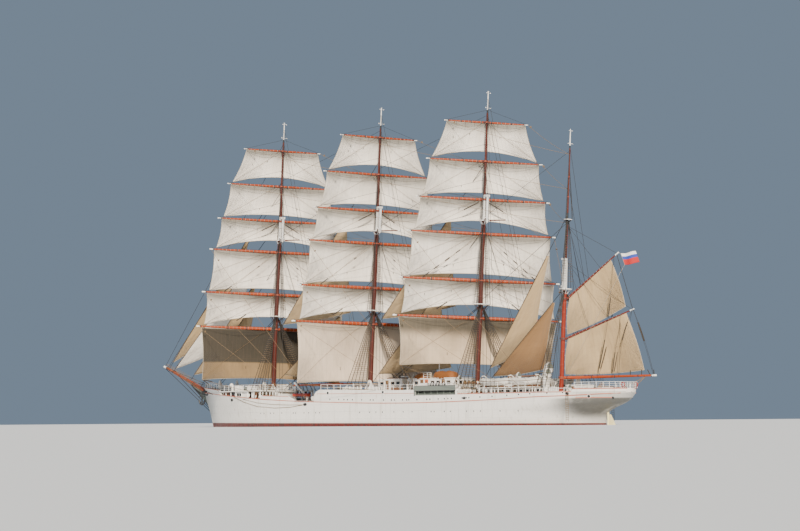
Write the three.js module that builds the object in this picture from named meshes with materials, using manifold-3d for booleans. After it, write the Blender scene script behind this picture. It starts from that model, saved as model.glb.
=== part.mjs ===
// Four-masted barque under sail, a 1:10 scale model. Sizes are metres of the full-size ship;
// scaled() turns them into model millimetres. +X aft, port -Y, +Z up, origin on the waterline amidships.
import * as THREE from 'three';
import { mergeVertices } from 'three/addons/utils/BufferGeometryUtils.js';
import Module from 'manifold-3d';

const MODEL_SCALE = 10;
const MM_PER_METRE = 1000 / MODEL_SCALE;
const GAP = 0.3 / MM_PER_METRE;
const RUNNING_GAP = 0.6 / MM_PER_METRE;
const RAKE = THREE.MathUtils.degToRad(3.58);
const MAST_DATUM = 7.0;

// Hull
const STEM_HEAD = -51.55;
const TAFFRAIL = 51.7;
const END_BLEND = 20;
const END_THICKNESS = 0.14;
const BULWARK = 0.18;
const FORECASTLE_DECK = 6.93;
const FORECASTLE_END = -42;
const SHELTER_END = -28;
const BRIDGE_DECK = 6.35;
const DECK_PLATE = 0.12;
const AFT_DECK = 4.95;
const POOP_DECK = 5.35;
const GALLERY = { start: 10.9, end: 20.0, floor: 5.35, roof: 6.1, inner: 5.9 };
const APERTURE = { start: 43.3, end: 45.8, low: -6.0, high: -1.9 };
const SHAFT_HEIGHT = -3.95;
const RUDDER_AXIS = 46.95;

// Masts stand at these places along the hull, on these decks, their yards or boom swung so many degrees
const MASTS = [
  { name: 'fore', x: -32.0, foot: FORECASTLE_DECK, truck: 58.9, square: true, swing: -31 },
  { name: 'main', x: -6.5, foot: 6.615, truck: 58.9, square: true, swing: -27 },
  { name: 'mizzen', x: 19.0, foot: BRIDGE_DECK + GAP + DECK_PLATE, truck: 58.9, square: true, swing: -37 },
  { name: 'jigger', x: 37.4, foot: AFT_DECK, truck: 50.2, square: false, swing: 20 },
];
const [FORE, MAIN] = MASTS;

// Yards from the lowest up: height above water, half length, how far ahead of the mast, radius,
// and for the sail below it the drop from yard to clew, rise of the foot's middle, and belly
const YARDS = [
  { name: 'course', z: 18.8, half: 15.4, ahead: 1.15, radius: 0.31, drop: 9.6, arch: 0.6, belly: 2.2 },
  { name: 'lower_topsail', z: 25.45, half: 14.6, ahead: 1.05, radius: 0.29, drop: 6.0, arch: 2.0, belly: 1.6 },
  { name: 'upper_topsail', z: 33.7, half: 13.5, ahead: 0.95, radius: 0.26, drop: 7.7, arch: 0.9, belly: 1.8 },
  { name: 'lower_topgallant', z: 39.75, half: 12.2, ahead: 0.85, radius: 0.23, drop: 5.5, arch: 2.0, belly: 1.3 },
  { name: 'upper_topgallant', z: 46.5, half: 10.6, ahead: 0.75, radius: 0.2, drop: 6.2, arch: 0.9, belly: 1.4 },
  { name: 'royal', z: 53.4, half: 7.65, ahead: 0.65, radius: 0.17, drop: 6.4, arch: 1.5, belly: 1.1 },
];
const COURSE_DROP = { fore: 9.9, main: 11.0, mizzen: 8.4 };

const finish = (color, roughness = 0.7, metalness = 0) =>
  new THREE.MeshStandardMaterial({ color, roughness, metalness });
const PAINT_WHITE = () => finish(0xe9e4da, 0.5);
const PAINT_ORANGE = () => finish(0xc4502a, 0.5);
const CANVAS = () => finish(0xe6dfd2, 0.95);
const CANVAS_TAN = () => finish(0xb59a76, 0.95);
const BRONZE = () => finish(0xa98545, 0.4, 0.8);

const wasm = await Module();
wasm.setup();

function solidOf(geometry) {
  const bare = geometry.clone();
  bare.deleteAttribute('normal');
  bare.deleteAttribute('uv');
  const merged = mergeVertices(bare, 1e-6);
  return new wasm.Manifold(new wasm.Mesh({
    numProp: 3,
    vertProperties: new Float32Array(merged.attributes.position.array),
    triVerts: new Uint32Array(merged.index.array),
  }));
}

function geometryOf(solid) {
  const mesh = solid.getMesh();
  const geometry = new THREE.BufferGeometry();
  geometry.setAttribute('position', new THREE.BufferAttribute(mesh.vertProperties, 3));
  geometry.setIndex(new THREE.BufferAttribute(mesh.triVerts, 1));
  return geometry;
}

const joined = (...geometries) => geometryOf(geometries.map(solidOf).reduce((a, b) => a.add(b)));
const cutBy = (body, ...tools) => geometryOf(tools.map(solidOf).reduce((a, b) => a.subtract(b), solidOf(body)));

function scaled(name, geometry, material) {
  const mesh = new THREE.Mesh(geometry.clone().scale(MM_PER_METRE, MM_PER_METRE, MM_PER_METRE), material);
  mesh.name = name;
  return mesh;
}

// Closed solid from like rings of points; each end is closed by a ladder across its two sides
function loft(rings) {
  const count = rings[0].length;
  const index = [];
  for (let i = 0; i + 1 < rings.length; i += 1) {
    for (let k = 0; k < count; k += 1) {
      const a = i * count + k;
      const b = i * count + ((k + 1) % count);
      index.push(a, b, b + count, a, b + count, a + count);
    }
  }
  const last = (rings.length - 1) * count;
  for (let k = 0; k + 1 < count / 2; k += 1) {
    const far = count - 1 - k;
    index.push(k, far, far - 1, k, far - 1, k + 1);
    index.push(last + k, last + far - 1, last + far, last + k, last + k + 1, last + far - 1);
  }
  const geometry = new THREE.BufferGeometry();
  geometry.setAttribute('position', new THREE.Float32BufferAttribute(rings.flat(2), 3));
  geometry.setIndex(index);
  return outward(geometry);
}

// Turns every face round when the solid's signed volume is negative
function outward(geometry) {
  const p = geometry.attributes.position;
  const index = geometry.index.array;
  const [a, b, c] = [new THREE.Vector3(), new THREE.Vector3(), new THREE.Vector3()];
  let volume = 0;
  for (let i = 0; i < index.length; i += 3) {
    a.fromBufferAttribute(p, index[i]);
    b.fromBufferAttribute(p, index[i + 1]);
    c.fromBufferAttribute(p, index[i + 2]);
    volume += a.dot(b.cross(c));
  }
  if (volume < 0) {
    for (let i = 0; i < index.length; i += 3) {
      [index[i + 1], index[i + 2]] = [index[i + 2], index[i + 1]];
    }
  }
  return geometry;
}

// Thin closed sheet over a surface of (across, down), both 0 to 1, its thickness along one vector,
// both faces parted into the same triangles so that they never cross
function sheet(surface, across, down, thickness) {
  const wide = down + 1;
  const count = (across + 1) * wide;
  const points = [];
  for (const share of [0.5, -0.5]) {
    for (let i = 0; i <= across; i += 1) {
      for (let j = 0; j <= down; j += 1) {
        points.push(...surface(i / across, j / down).addScaledVector(thickness, share).toArray());
      }
    }
  }
  const index = [];
  const triangle = (a, b, c) => index.push(a, b, c, a + count, c + count, b + count);
  const wall = (a, b) => index.push(a, a + count, b + count, a, b + count, b);
  for (let i = 0; i < across; i += 1) {
    for (let j = 0; j < down; j += 1) {
      const a = i * wide + j;
      triangle(a, a + 1, a + wide + 1);
      triangle(a, a + wide + 1, a + wide);
    }
    wall((i + 1) * wide, i * wide);
    wall(i * wide + down, (i + 1) * wide + down);
  }
  for (let j = 0; j < down; j += 1) {
    wall(j, j + 1);
    wall(across * wide + j + 1, across * wide + j);
  }
  const geometry = new THREE.BufferGeometry();
  geometry.setAttribute('position', new THREE.Float32BufferAttribute(points, 3));
  geometry.setIndex(index);
  return outward(geometry);
}

const box = (x0, x1, y0, y1, z0, z1) =>
  new THREE.BoxGeometry(x1 - x0, y1 - y0, z1 - z0).translate((x0 + x1) / 2, (y0 + y1) / 2, (z0 + z1) / 2);

// Round bar between two points, with its own radius at each end
function bar(from, to, r0, r1, sides = 12) {
  const a = new THREE.Vector3(...from);
  const b = new THREE.Vector3(...to);
  const way = b.clone().sub(a);
  const geometry = new THREE.CylinderGeometry(r1, r0, way.length(), sides, 1);
  const turn = new THREE.Quaternion().setFromUnitVectors(new THREE.Vector3(0, 1, 0), way.clone().normalize());
  return geometry.applyQuaternion(turn).translate(...a.add(b).multiplyScalar(0.5).toArray());
}

// Value at x from rows of [x, value], straight between them
function along(rows, x) {
  if (x <= rows[0][0]) return rows[0][1];
  for (let i = 0; i + 1 < rows.length; i += 1) {
    const [[x0, v0], [x1, v1]] = [rows[i], rows[i + 1]];
    if (x <= x1) return v0 + ((v1 - v0) * (x - x0)) / (x1 - x0);
  }
  return rows[rows.length - 1][1];
}

// Rows of [height, x] down the stem and the stern
const STEM = [[-6.7, -43], [-6.0, -45.6], [-4.5, -47.3], [-2.5, -48.3], [0, -48.8], [3.1, -49.8], [5.7, -50.95],
  [7.9, STEM_HEAD]];
const STERN = [[1.9, 46.5], [2.3, 47.5], [2.74, 48.25], [3.7, 50.1], [5.2, 51.6], [6.05, TAFFRAIL]];
// Rows of [x, height]: the sheer line, and the top of the plating above it
const SHEER = [[-51.55, 6.9], [-45, 6.45], [-38, 6.0], [-29, 5.3], [-18, 4.7], [-10, 4.43], [8, 4.07], [20, 4.2],
  [30, 4.47], [36.6, 4.74], [44, 4.9], [TAFFRAIL, 5.25]];
const TOP = [[-51.55, 7.9], [-47, 7.55], [-42.1, 7.2], [-41.9, 6.3], [-28.1, 5.25], [-27.9, 5.95], [-20.5, 5.65],
  [-18.3, 4.8], [-14.1, 4.65], [-13.8, 5.9], [-12.5, 6.75], [6.5, BRIDGE_DECK], [20.2, BRIDGE_DECK],
  [20.4, 5.55], [44.1, 5.6], [44.3, 5.95], [TAFFRAIL, 6.05]];
const STATIONS = [-51.55, -50.5, -49, -47, -44.5, -42.1, -41.9, -38, -33, -28.1, -27.9, -24, -20.5, -18.3, -14.1,
  -13.8, -12.5, -6, 0, 6.5, 10.9, 15, 20.2, 20.4, 26, 31, 36, 40, 44.1, 44.3, 46.2, 48, 49.4, 50.5, 51.2, TAFFRAIL];
// Levels from the keel up: height (or share of the sheer's height), half breadth, then length and
// fullness of the bow, and length, fullness and roundness of the stern
const LEVELS = [
  { z: -6.7, half: 0.3, bow: 30, bowPower: 1.5, stern: 30, sternPower: 1.5, round: 1 },
  { z: -6.6, half: 4.6, bow: 48, bowPower: 1.5, stern: 46, sternPower: 1.5, round: 1 },
  { z: -6.2, half: 6.0, bow: 46, bowPower: 1.55, stern: 44, sternPower: 1.6, round: 1 },
  { z: -5.2, half: 6.9, bow: 44, bowPower: 1.7, stern: 42, sternPower: 1.7, round: 1 },
  { z: -3.0, half: 7.3, bow: 40, bowPower: 1.9, stern: 38, sternPower: 1.9, round: 1 },
  { z: 0, half: 7.35, bow: 34, bowPower: 2.0, stern: 34, sternPower: 2.2, round: 1 },
  { rise: 0.4, half: 7.35, bow: 31, bowPower: 2.1, stern: 30, sternPower: 2.5, round: 1.2 },
  { rise: 0.74, half: 7.35, bow: 28.5, bowPower: 2.2, stern: 24, sternPower: 2.8, round: 1.9 },
  { rise: 1, half: 7.3, bow: 26.5, bowPower: 2.3, stern: 21, sternPower: 2.8, round: 2.1 },
  { top: true, half: 7.25, bow: 26, bowPower: 2.35, stern: 20.5, sternPower: 2.8, round: 2.1 },
];
const SHEER_LEVEL = LEVELS[8];

function halfBreadth(level, x) {
  const ahead = Math.max(0, 1 - (x - STEM_HEAD) / level.bow);
  const astern = Math.max(0, 1 - (TAFFRAIL - x) / level.stern);
  const bow = 1 - ahead ** level.bowPower;
  const stern = (1 - astern ** level.sternPower) ** (1 / level.round);
  return Math.max(END_THICKNESS, level.half * bow * stern);
}

function levelHeight(level, x) {
  if (level.top) return along(TOP, x);
  return level.z ?? level.rise * along(SHEER, x);
}

function hullPoint(level, x) {
  const z = levelHeight(level, x);
  const bowShare = Math.max(0, 1 - (x - STEM_HEAD) / END_BLEND);
  const sternShare = Math.max(0, 1 - (TAFFRAIL - x) / END_BLEND);
  const shift = (along(STEM, z) - STEM_HEAD) * bowShare + (along(STERN, z) - TAFFRAIL) * sternShare;
  return [x + shift, halfBreadth(level, x), z];
}

// Prism that follows the hull's side, inset from it, between two heights that may slope
function deckPrism(x0, x1, inset, low, high, steps = 6) {
  const rings = [];
  for (let i = 0; i <= steps; i += 1) {
    const x = x0 + ((x1 - x0) * i) / steps;
    const y = Math.max(0.3, halfBreadth(SHEER_LEVEL, x) - inset);
    const [z0, z1] = [along(low, x), along(high, x)];
    rings.push([[x, -y, z0], [x, -y, z1], [x, y, z1], [x, y, z0]]);
  }
  return loft(rings);
}

const flat = (z) => [[0, z]];
const BOWSPRIT = { socket: [-49.59, 0, 6.476], heel: [-49.6, 0, 6.48], tip: [-63.7, 0, 12.39],
  thick: 0.42, thin: 0.2 };
const STOCK = { radius: 0.17, top: 3.4 };
const SHAFT = { radius: 0.2, inside: 1.0 };

function hull() {
  const shell = loft(STATIONS.map((x) => {
    const side = LEVELS.map((level) => hullPoint(level, x));
    const port = side.map(([px, y, z]) => [px, -y, z]);
    return [...port, ...side.reverse()];
  }));
  const sky = flat(9.5);
  const wellFloor = [[-41.8, 4.9], [-14.2, 3.9]];
  const clearance = 1.08;
  const cut = cutBy(
    shell,
    deckPrism(-50.6, FORECASTLE_END - 0.2, BULWARK, flat(FORECASTLE_DECK), sky),
    deckPrism(-41.8, -14.2, BULWARK, wellFloor, sky, 10),
    deckPrism(20.6, 43.9, BULWARK, flat(AFT_DECK), sky),
    deckPrism(44.5, TAFFRAIL - 0.6, BULWARK, flat(POOP_DECK), sky, 10),
    box(GALLERY.start, GALLERY.end, GALLERY.inner, 9, GALLERY.floor, GALLERY.roof),
    box(GALLERY.start, GALLERY.end, -9, -GALLERY.inner, GALLERY.floor, GALLERY.roof),
    box(APERTURE.start, APERTURE.end, -3, 3, APERTURE.low, APERTURE.high),
    bowsprit(BOWSPRIT.socket, GAP * 2),
    bar([RUDDER_AXIS, 0, 0], [RUDDER_AXIS, 0, STOCK.top + GAP], STOCK.radius * clearance, STOCK.radius * clearance),
    bar([APERTURE.start - SHAFT.inside - GAP, 0, SHAFT_HEIGHT], [APERTURE.end - 0.5, 0, SHAFT_HEIGHT],
      SHAFT.radius * clearance, SHAFT.radius * clearance),
  );
  return joined(
    cut,
    deckPrism(-42.4, SHELTER_END, 0.12, flat(FORECASTLE_DECK - 0.2), flat(FORECASTLE_DECK), 5),
    box(-42.2, -36.5, -3.4, 3.4, 4.0, 6.8),
    box(-35.2, -28.6, -3.0, 3.0, 3.8, 6.8),
  );
}

function bowsprit(heel = BOWSPRIT.heel, clearance = 0) {
  return bar(heel, BOWSPRIT.tip, BOWSPRIT.thick + clearance, BOWSPRIT.thin + clearance, 12);
}

function rudder() {
  const blade = new THREE.Shape();
  blade.moveTo(RUDDER_AXIS, -6.35);
  blade.lineTo(RUDDER_AXIS + 2.0, -6.2);
  blade.quadraticCurveTo(RUDDER_AXIS + 2.5, -3.4, RUDDER_AXIS + 1.5, -0.2);
  blade.lineTo(RUDDER_AXIS + 0.5, 1.7);
  blade.lineTo(RUDDER_AXIS, 1.7);
  const plate = new THREE.ExtrudeGeometry(blade, { depth: 0.24, bevelEnabled: false, curveSegments: 5 })
    .translate(0, 0, -0.12)
    .rotateX(Math.PI / 2);
  return joined(plate, bar([RUDDER_AXIS, 0, -6.35], [RUDDER_AXIS, 0, STOCK.top], STOCK.radius, STOCK.radius));
}

function propeller() {
  const middle = (APERTURE.start + APERTURE.end) / 2;
  const pieces = [
    bar([middle - 0.6, 0, SHAFT_HEIGHT], [middle + 0.55, 0, SHAFT_HEIGHT], 0.36, 0.28),
    bar([APERTURE.start - SHAFT.inside, 0, SHAFT_HEIGHT], [middle, 0, SHAFT_HEIGHT], SHAFT.radius, SHAFT.radius),
  ];
  const pitch = THREE.MathUtils.degToRad(35);
  for (let i = 0; i < 4; i += 1) {
    const blade = new THREE.CylinderGeometry(1, 1, 0.09, 12).rotateZ(Math.PI / 2).scale(1, 0.5, 0.82);
    blade.rotateZ(pitch).translate(0, 0, 0.95).rotateX((i * Math.PI) / 2);
    pieces.push(blade.translate(middle, 0, SHAFT_HEIGHT));
  }
  return joined(...pieces);
}

// Mast radius along its own axis, from heights above the water
const POLE_SIDES = 20;
const SQUARE_PROFILE = [[4, 0.43], [22, 0.41], [36, 0.34], [40.4, 0.3], [40.6, 0.25], [55, 0.17], [56, 0.12],
  [58.6, 0.08]];
const JIGGER_PROFILE = [[4, 0.38], [23, 0.34], [28, 0.3], [28.2, 0.2], [36, 0.17], [47, 0.12], [50.0, 0.07]];
const alongMast = (z) => (z - MAST_DATUM) / Math.cos(RAKE);

function mastRadius(mast, z) {
  return along(mast.square ? SQUARE_PROFILE : JIGGER_PROFILE, z);
}

// Plain round pole of a mast in its own raked frame
function pole(data, clearance = 0) {
  const rows = (data.square ? SQUARE_PROFILE : JIGGER_PROFILE).slice(1);
  const foot = alongMast(data.foot) + 0.03 + GAP;
  const profile = [new THREE.Vector2(0, foot), new THREE.Vector2(mastRadius(data, data.foot) + clearance, foot)];
  rows.forEach(([z, r]) => profile.push(new THREE.Vector2(r + clearance, alongMast(z))));
  profile.push(new THREE.Vector2(0, alongMast(data.truck)));
  return new THREE.LatheGeometry(profile, POLE_SIDES).rotateX(Math.PI / 2);
}

// Doubling where two lengths of mast overlap, with the cap that joins their heads
function doubling(low, high, away, radius) {
  const side = Math.sign(away);
  const cap = side > 0 ? [-0.1, away + 0.24] : [away - 0.24, 0.1];
  return [
    bar([away, 0, alongMast(low)], [away, 0, alongMast(high)], radius, radius * 0.9, 10),
    box(...cap, -0.28, 0.28, alongMast(high - 0.3), alongMast(high + 0.1)),
  ];
}

function platform(z, ahead, aft, half, thick) {
  return new THREE.CylinderGeometry(1, 1, thick, 12)
    .rotateX(Math.PI / 2)
    .scale((ahead + aft) / 2, half, 1)
    .translate((aft - ahead) / 2, 0, alongMast(z));
}

function mast(data) {
  if (!data.square) {
    return joined(pole(data), platform(23.0, 0.7, 1.0, 1.2, 0.14), platform(34.8, 0.4, 0.7, 0.8, 0.1),
      ...doubling(22.8, 28.2, -0.48, 0.2));
  }
  const spreader = 3.3;
  const spreaders = [-1, 1].map((side) =>
    bar([0, 0, alongMast(36.0)], [spreader, side * spreader, alongMast(36.3)], 0.14, 0.09, 6));
  return joined(pole(data), platform(21.3, 0.75, 1.5, 1.75, 0.14), platform(36.0, 0.6, 1.0, 1.0, 0.12),
    ...spreaders, ...doubling(35.7, 40.5, 0.78, 0.23));
}

// Moves a piece from a mast's own frame to the ship's
function raked(data, geometry) {
  return geometry.rotateY(RAKE).translate(data.x, 0, MAST_DATUM);
}

// A ring's arc gives twice this many sides to a full circle
const RING_STEPS = 6;

// Eight-sided spar between two points, flat side down, from rows of [share of its length, radius]
function spar(from, to, rows) {
  const [a, b] = [new THREE.Vector3(...from), new THREE.Vector3(...to)];
  const way = b.clone().sub(a).normalize();
  const level = new THREE.Vector3(-way.y, way.x, 0).normalize();
  const up = new THREE.Vector3().crossVectors(way, level);
  return loft(rows.map(([share, radius]) => {
    const middle = a.clone().lerp(b, share);
    return Array.from({ length: 8 }, (_, k) => {
      const angle = ((k + 0.5) * Math.PI) / 4;
      return middle.clone()
        .addScaledVector(level, radius * Math.cos(angle))
        .addScaledVector(up, radius * Math.sin(angle))
        .toArray();
    });
  }));
}

const flatUnder = (radius) => radius * Math.cos(Math.PI / 8);

function boreAt(data, z) {
  return (mastRadius(data, z - 0.2) + RUNNING_GAP) / Math.cos(Math.PI / (2 * RING_STEPS));
}

// Ring round the mast that a yard, gaff or boom turns on
function collar(data, z, wall, tall) {
  const bore = boreAt(data, z);
  const shape = new THREE.Shape().absarc(0, 0, bore + wall, 0, Math.PI * 2);
  shape.holes.push(new THREE.Path().absarc(0, 0, bore, 0, Math.PI * 2, true));
  return new THREE.ExtrudeGeometry(shape, { depth: tall, bevelEnabled: false, curveSegments: RING_STEPS })
    .translate(0, 0, alongMast(z) - tall / 2);
}

// Yard across the mast's own Y axis, with its truss arm and the ring round the mast
function yard(data, row) {
  const h = alongMast(row.z);
  const rows = [[0, 0.5], [0.375, 1], [0.625, 1], [1, 0.5]].map(([share, part]) => [share, part * row.radius]);
  return joined(
    spar([-row.ahead, -row.half, h], [-row.ahead, row.half, h], rows),
    box(-row.ahead, -boreAt(data, row.z) - 0.05, -0.17, 0.17, h - 0.12, h + 0.12),
    collar(data, row.z, 0.14, 0.3),
  );
}

// Share of its belly that a square sail has along its head, and how far in its side edges curve
const HEAD_FILL = 0.02;
const LEECH_HOLLOW = 0.25;
const CLOTH_ALONG = new THREE.Vector3(0.05, 0, 0);
const CLOTH_ACROSS = new THREE.Vector3(0, 0.05, 0);

// Square sail hung under its yard, bellied forward, its clews sheeted to the yard below
function squareSail(data, level) {
  const row = YARDS[level];
  const below = YARDS[level - 1];
  const drop = level === 0 ? COURSE_DROP[data.name] : row.drop;
  const headHalf = row.half * 0.93;
  const footHalf = below ? below.half * 0.9 : row.half * 0.89;
  const clewAhead = below ? below.ahead + 0.1 : row.ahead + 0.5;
  const head = alongMast(row.z) - flatUnder(row.radius) - GAP;
  const surface = (u, v) => {
    const s = 2 * u - 1;
    const half = headHalf + (footHalf - headHalf) * v - LEECH_HOLLOW * Math.sin(Math.PI * v);
    const fill = (1 - s * s) * (HEAD_FILL + Math.sin(Math.PI * v) * 0.7 + 0.5 * v);
    const x = -row.ahead + (row.ahead - clewAhead) * v - row.belly * fill;
    const z = head - drop * v + row.arch * (1 - s * s) * v * v;
    return new THREE.Vector3(x, s * half, z);
  };
  return sheet(surface, 7, 4, CLOTH_ALONG);
}

// Sails set on stays: the stay's ends as [x, z] on the centreline, the tack's and head's share
// of the way up it, the clew, the belly to starboard, and what carries the stay's lower end
const STAYSAILS = [
  { name: 'flying_jib', low: [-62.3, 11.8], high: [-38.0, 38.2], tack: 0.05, head: 0.96, clew: [-46.5, 2.2, 21.4],
    belly: 1.4, carrier: 'bowsprit' },
  { name: 'outer_jib', low: [-61.0, 11.2], high: [-36.6, 33.9], tack: 0.03, head: 0.96, clew: [-45.6, 2.9, 17.2],
    belly: 1.2, carrier: 'bowsprit' },
  { name: 'inner_jib', low: [-56.0, 9.15], high: [-36.6, 28.5], tack: 0.07, head: 0.96, clew: [-43.0, 2.6, 13.3],
    belly: 0.9, carrier: 'bowsprit' },
  { name: 'fore_topmast_staysail', low: [-52.9, 7.85], high: [-36.2, 25.8], tack: 0.08, head: 0.95,
    clew: [-42.2, 2.2, 12.0], belly: 0.7, carrier: 'bowsprit' },
  { name: 'main_staysail', low: [-31.9, 7.8], high: [-13.6, 21.2], tack: 0.16, head: 0.95,
    clew: [-15.6, 2.4, 8.9], belly: 0.8, carrier: FORE },
  { name: 'main_topmast_staysail', low: [-31.3, 17.2], high: [-12.0, 39.6], tack: 0.11, head: 0.96,
    clew: [-13.6, 2.4, 21.4], belly: 1.0, carrier: FORE },
  { name: 'mizzen_staysail', low: [-6.45, 7.5], high: [10.8, 24.6], tack: 0.12, head: 0.95,
    clew: [11.2, 2.2, 10.4], belly: 0.8, carrier: MAIN },
  { name: 'mizzen_topmast_staysail', low: [-5.86, 17.2], high: [13.6, 37.9], tack: 0.12, head: 0.96,
    clew: [12.2, 2.4, 21.4], belly: 1.0, carrier: MAIN },
  { name: 'jigger_staysail', low: [20.2, 6.3], high: [36.4, 21.4], tack: 0.15, head: 0.96,
    clew: [32.4, 1.8, 9.6], belly: 0.8, carrier: 'deck' },
  { name: 'jigger_topmast_staysail', low: [19.4, 6.2], high: [35.3, 29.8], tack: 0.16, head: 0.96,
    clew: [30.3, 1.9, 14.5], belly: 0.8, carrier: 'deck' },
];
const STAY_RADIUS = 0.05;
const HEAD_WIDTH = 0.5;

// What a stay's lower end stands on, grown by the gap that it keeps from it
function carrierOf(row) {
  if (row.carrier === 'bowsprit') return bowsprit(BOWSPRIT.heel, GAP);
  if (row.carrier === 'deck') return box(16, 24, -3, 3, BRIDGE_DECK - 1, BRIDGE_DECK + DECK_PLATE + GAP * 2);
  return raked(row.carrier, pole(row.carrier, GAP));
}

// Three-cornered sail hanked to its stay along the luff
function staySail(row) {
  const low = new THREE.Vector3(row.low[0], 0, row.low[1]);
  const high = new THREE.Vector3(row.high[0], 0, row.high[1]);
  const tack = low.clone().lerp(high, row.tack);
  const head = low.clone().lerp(high, row.head);
  const clew = new THREE.Vector3(...row.clew);
  const surface = (u, v) => {
    const luff = head.clone().lerp(tack, v);
    const leech = head.clone().lerp(clew, v);
    const p = luff.lerp(leech, u);
    p.x += HEAD_WIDTH * u * (1 - v) - LEECH_HOLLOW * u * Math.sin(Math.PI * v);
    p.y += row.belly * Math.sin(Math.PI * u) * Math.sin(Math.PI * (0.2 + 0.65 * v)) * (0.3 + 0.7 * v);
    return p;
  };
  const stay = bar(low.toArray(), high.toArray(), STAY_RADIUS, STAY_RADIUS, 6);
  return cutBy(joined(stay, sheet(surface, 5, 5, CLOTH_ACROSS)), carrierOf(row));
}

// Boom, gaffs and sails of the jigger mast in its own frame: height of the ring on the mast, the
// spar's end as [distance aft, height], its radius at both ends
const SPANKER_SPARS = {
  boom: { name: 'spanker_boom', z: 8.0, end: [16.4, 8.15], thick: 0.26, thin: 0.16 },
  lower: { name: 'lower_gaff', z: 14.6, end: [12.2, 19.3], thick: 0.2, thin: 0.1 },
  upper: { name: 'upper_gaff', z: 21.4, end: [9.2, 28.9], thick: 0.2, thin: 0.1 },
};
// Sails under each gaff: share of the gaff at throat and peak, then clew and tack as [distance aft, height]
const SPANKER_SAILS = [
  { name: 'lower_spanker', under: 'lower', throat: 0.03, peak: 0.88, clew: [14.3, 9.06], tack: [0.7, 8.6], belly: 0.9 },
  { name: 'upper_spanker', under: 'upper', throat: 0.03, peak: 0.84, clew: [10.7, 19.75], tack: [0.75, 15.3],
    belly: 0.7 },
];

function fromMast([aft, z], data) {
  const lean = aft * Math.sin(RAKE) * Math.cos(THREE.MathUtils.degToRad(data.swing));
  return new THREE.Vector3(aft * Math.cos(RAKE), 0, alongMast(z) + lean);
}

function sparEnds(data, row) {
  const outer = fromMast(row.end, data);
  const inner = new THREE.Vector3(0, 0, alongMast(row.z));
  const rise = Math.atan2(outer.z - inner.z, outer.x);
  inner.x = boreAt(data, row.z) + 0.03 + row.thick * Math.sin(rise);
  return { inner, outer, rise };
}

function spankerSpar(data, row) {
  const { inner, outer } = sparEnds(data, row);
  return joined(collar(data, row.z, 0.18, 0.4),
    spar(inner.toArray(), outer.toArray(), [[0, row.thick], [1, row.thin]]));
}

// Four-cornered sail laced under its gaff, its foot loose above the boom
function spankerSail(data, row) {
  const gaff = SPANKER_SPARS[row.under];
  const { inner, outer, rise } = sparEnds(data, gaff);
  const down = new THREE.Vector3(Math.sin(rise), 0, -Math.cos(rise));
  inner.addScaledVector(down, flatUnder(gaff.thick) + GAP);
  outer.addScaledVector(down, flatUnder(gaff.thin) + GAP);
  const under = (share) => inner.clone().lerp(outer, share);
  const clew = fromMast(row.clew, data);
  const tack = fromMast(row.tack, data);
  const surface = (u, v) => {
    const head = under(row.throat + (row.peak - row.throat) * u);
    const foot = tack.clone().lerp(clew, u);
    const p = head.lerp(foot, v);
    p.x += LEECH_HOLLOW * (2 * u - 1) * Math.sin(Math.PI * v);
    p.y += row.belly * Math.sin(Math.PI * u) * Math.sin(Math.PI * (0.01 + 0.84 * v));
    return p;
  };
  return sheet(surface, 5, 5, CLOTH_ACROSS);
}

// Lifeboat with a rounded bottom, on its own middle
function lifeboat(length, half, height) {
  const rings = [-1, -0.72, -0.3, 0.3, 0.72, 1].map((s) => {
    const full = Math.max(0.12, 1 - Math.abs(s) ** 2.6);
    const ring = [];
    for (let k = 0; k < 10; k += 1) {
      const angle = Math.PI * (0.5 + (k + 0.5) / 5);
      ring.push([s * length * 0.5, half * full * Math.cos(angle), height * (0.5 + 0.5 * full) * 0.5 * Math.sin(angle)]);
    }
    return ring;
  });
  return loft(rings);
}

// Bridge house, boat deck and boats, all standing on one plate along the deck
function deckhouses() {
  const floor = BRIDGE_DECK + GAP;
  const plate = floor + DECK_PLATE;
  const pieces = [
    box(6.9, 24.1, -3.3, 3.3, floor, plate),
    box(24.0, 36.0, -6.3, 6.3, floor, plate),
    box(24.4, 35.6, -3.4, 3.4, AFT_DECK + GAP, floor + 0.02),
    box(6.9, 16.2, -3.3, 3.3, plate - 0.02, 7.8),
    box(7.1, 9.2, -3.0, 3.0, 7.7, 9.0),
    box(11.2, 15.9, -2.4, 2.4, 7.7, 9.3),
  ];
  for (const side of [-1, 1]) {
    for (const middle of [27.1, 33.0]) {
      pieces.push(lifeboat(5.6, 1.05, 1.5).translate(middle, side * 5.0, 7.2));
      for (const end of [-1.5, 1.5]) {
        pieces.push(box(middle + end - 0.12, middle + end + 0.12, side * 5 - 0.7, side * 5 + 0.7, plate - 0.02, 6.9));
      }
    }
  }
  return joined(...pieces);
}

const ship = new THREE.Group();
ship.add(scaled('hull', hull(), PAINT_WHITE()));
ship.add(scaled('bowsprit', bowsprit(), PAINT_ORANGE()));
ship.add(scaled('rudder', rudder(), PAINT_WHITE()));
ship.add(scaled('propeller', propeller(), BRONZE()));
ship.add(scaled('deckhouses', deckhouses(), PAINT_WHITE()));
STAYSAILS.forEach((row) => ship.add(scaled(row.name, staySail(row), CANVAS_TAN())));

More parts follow.
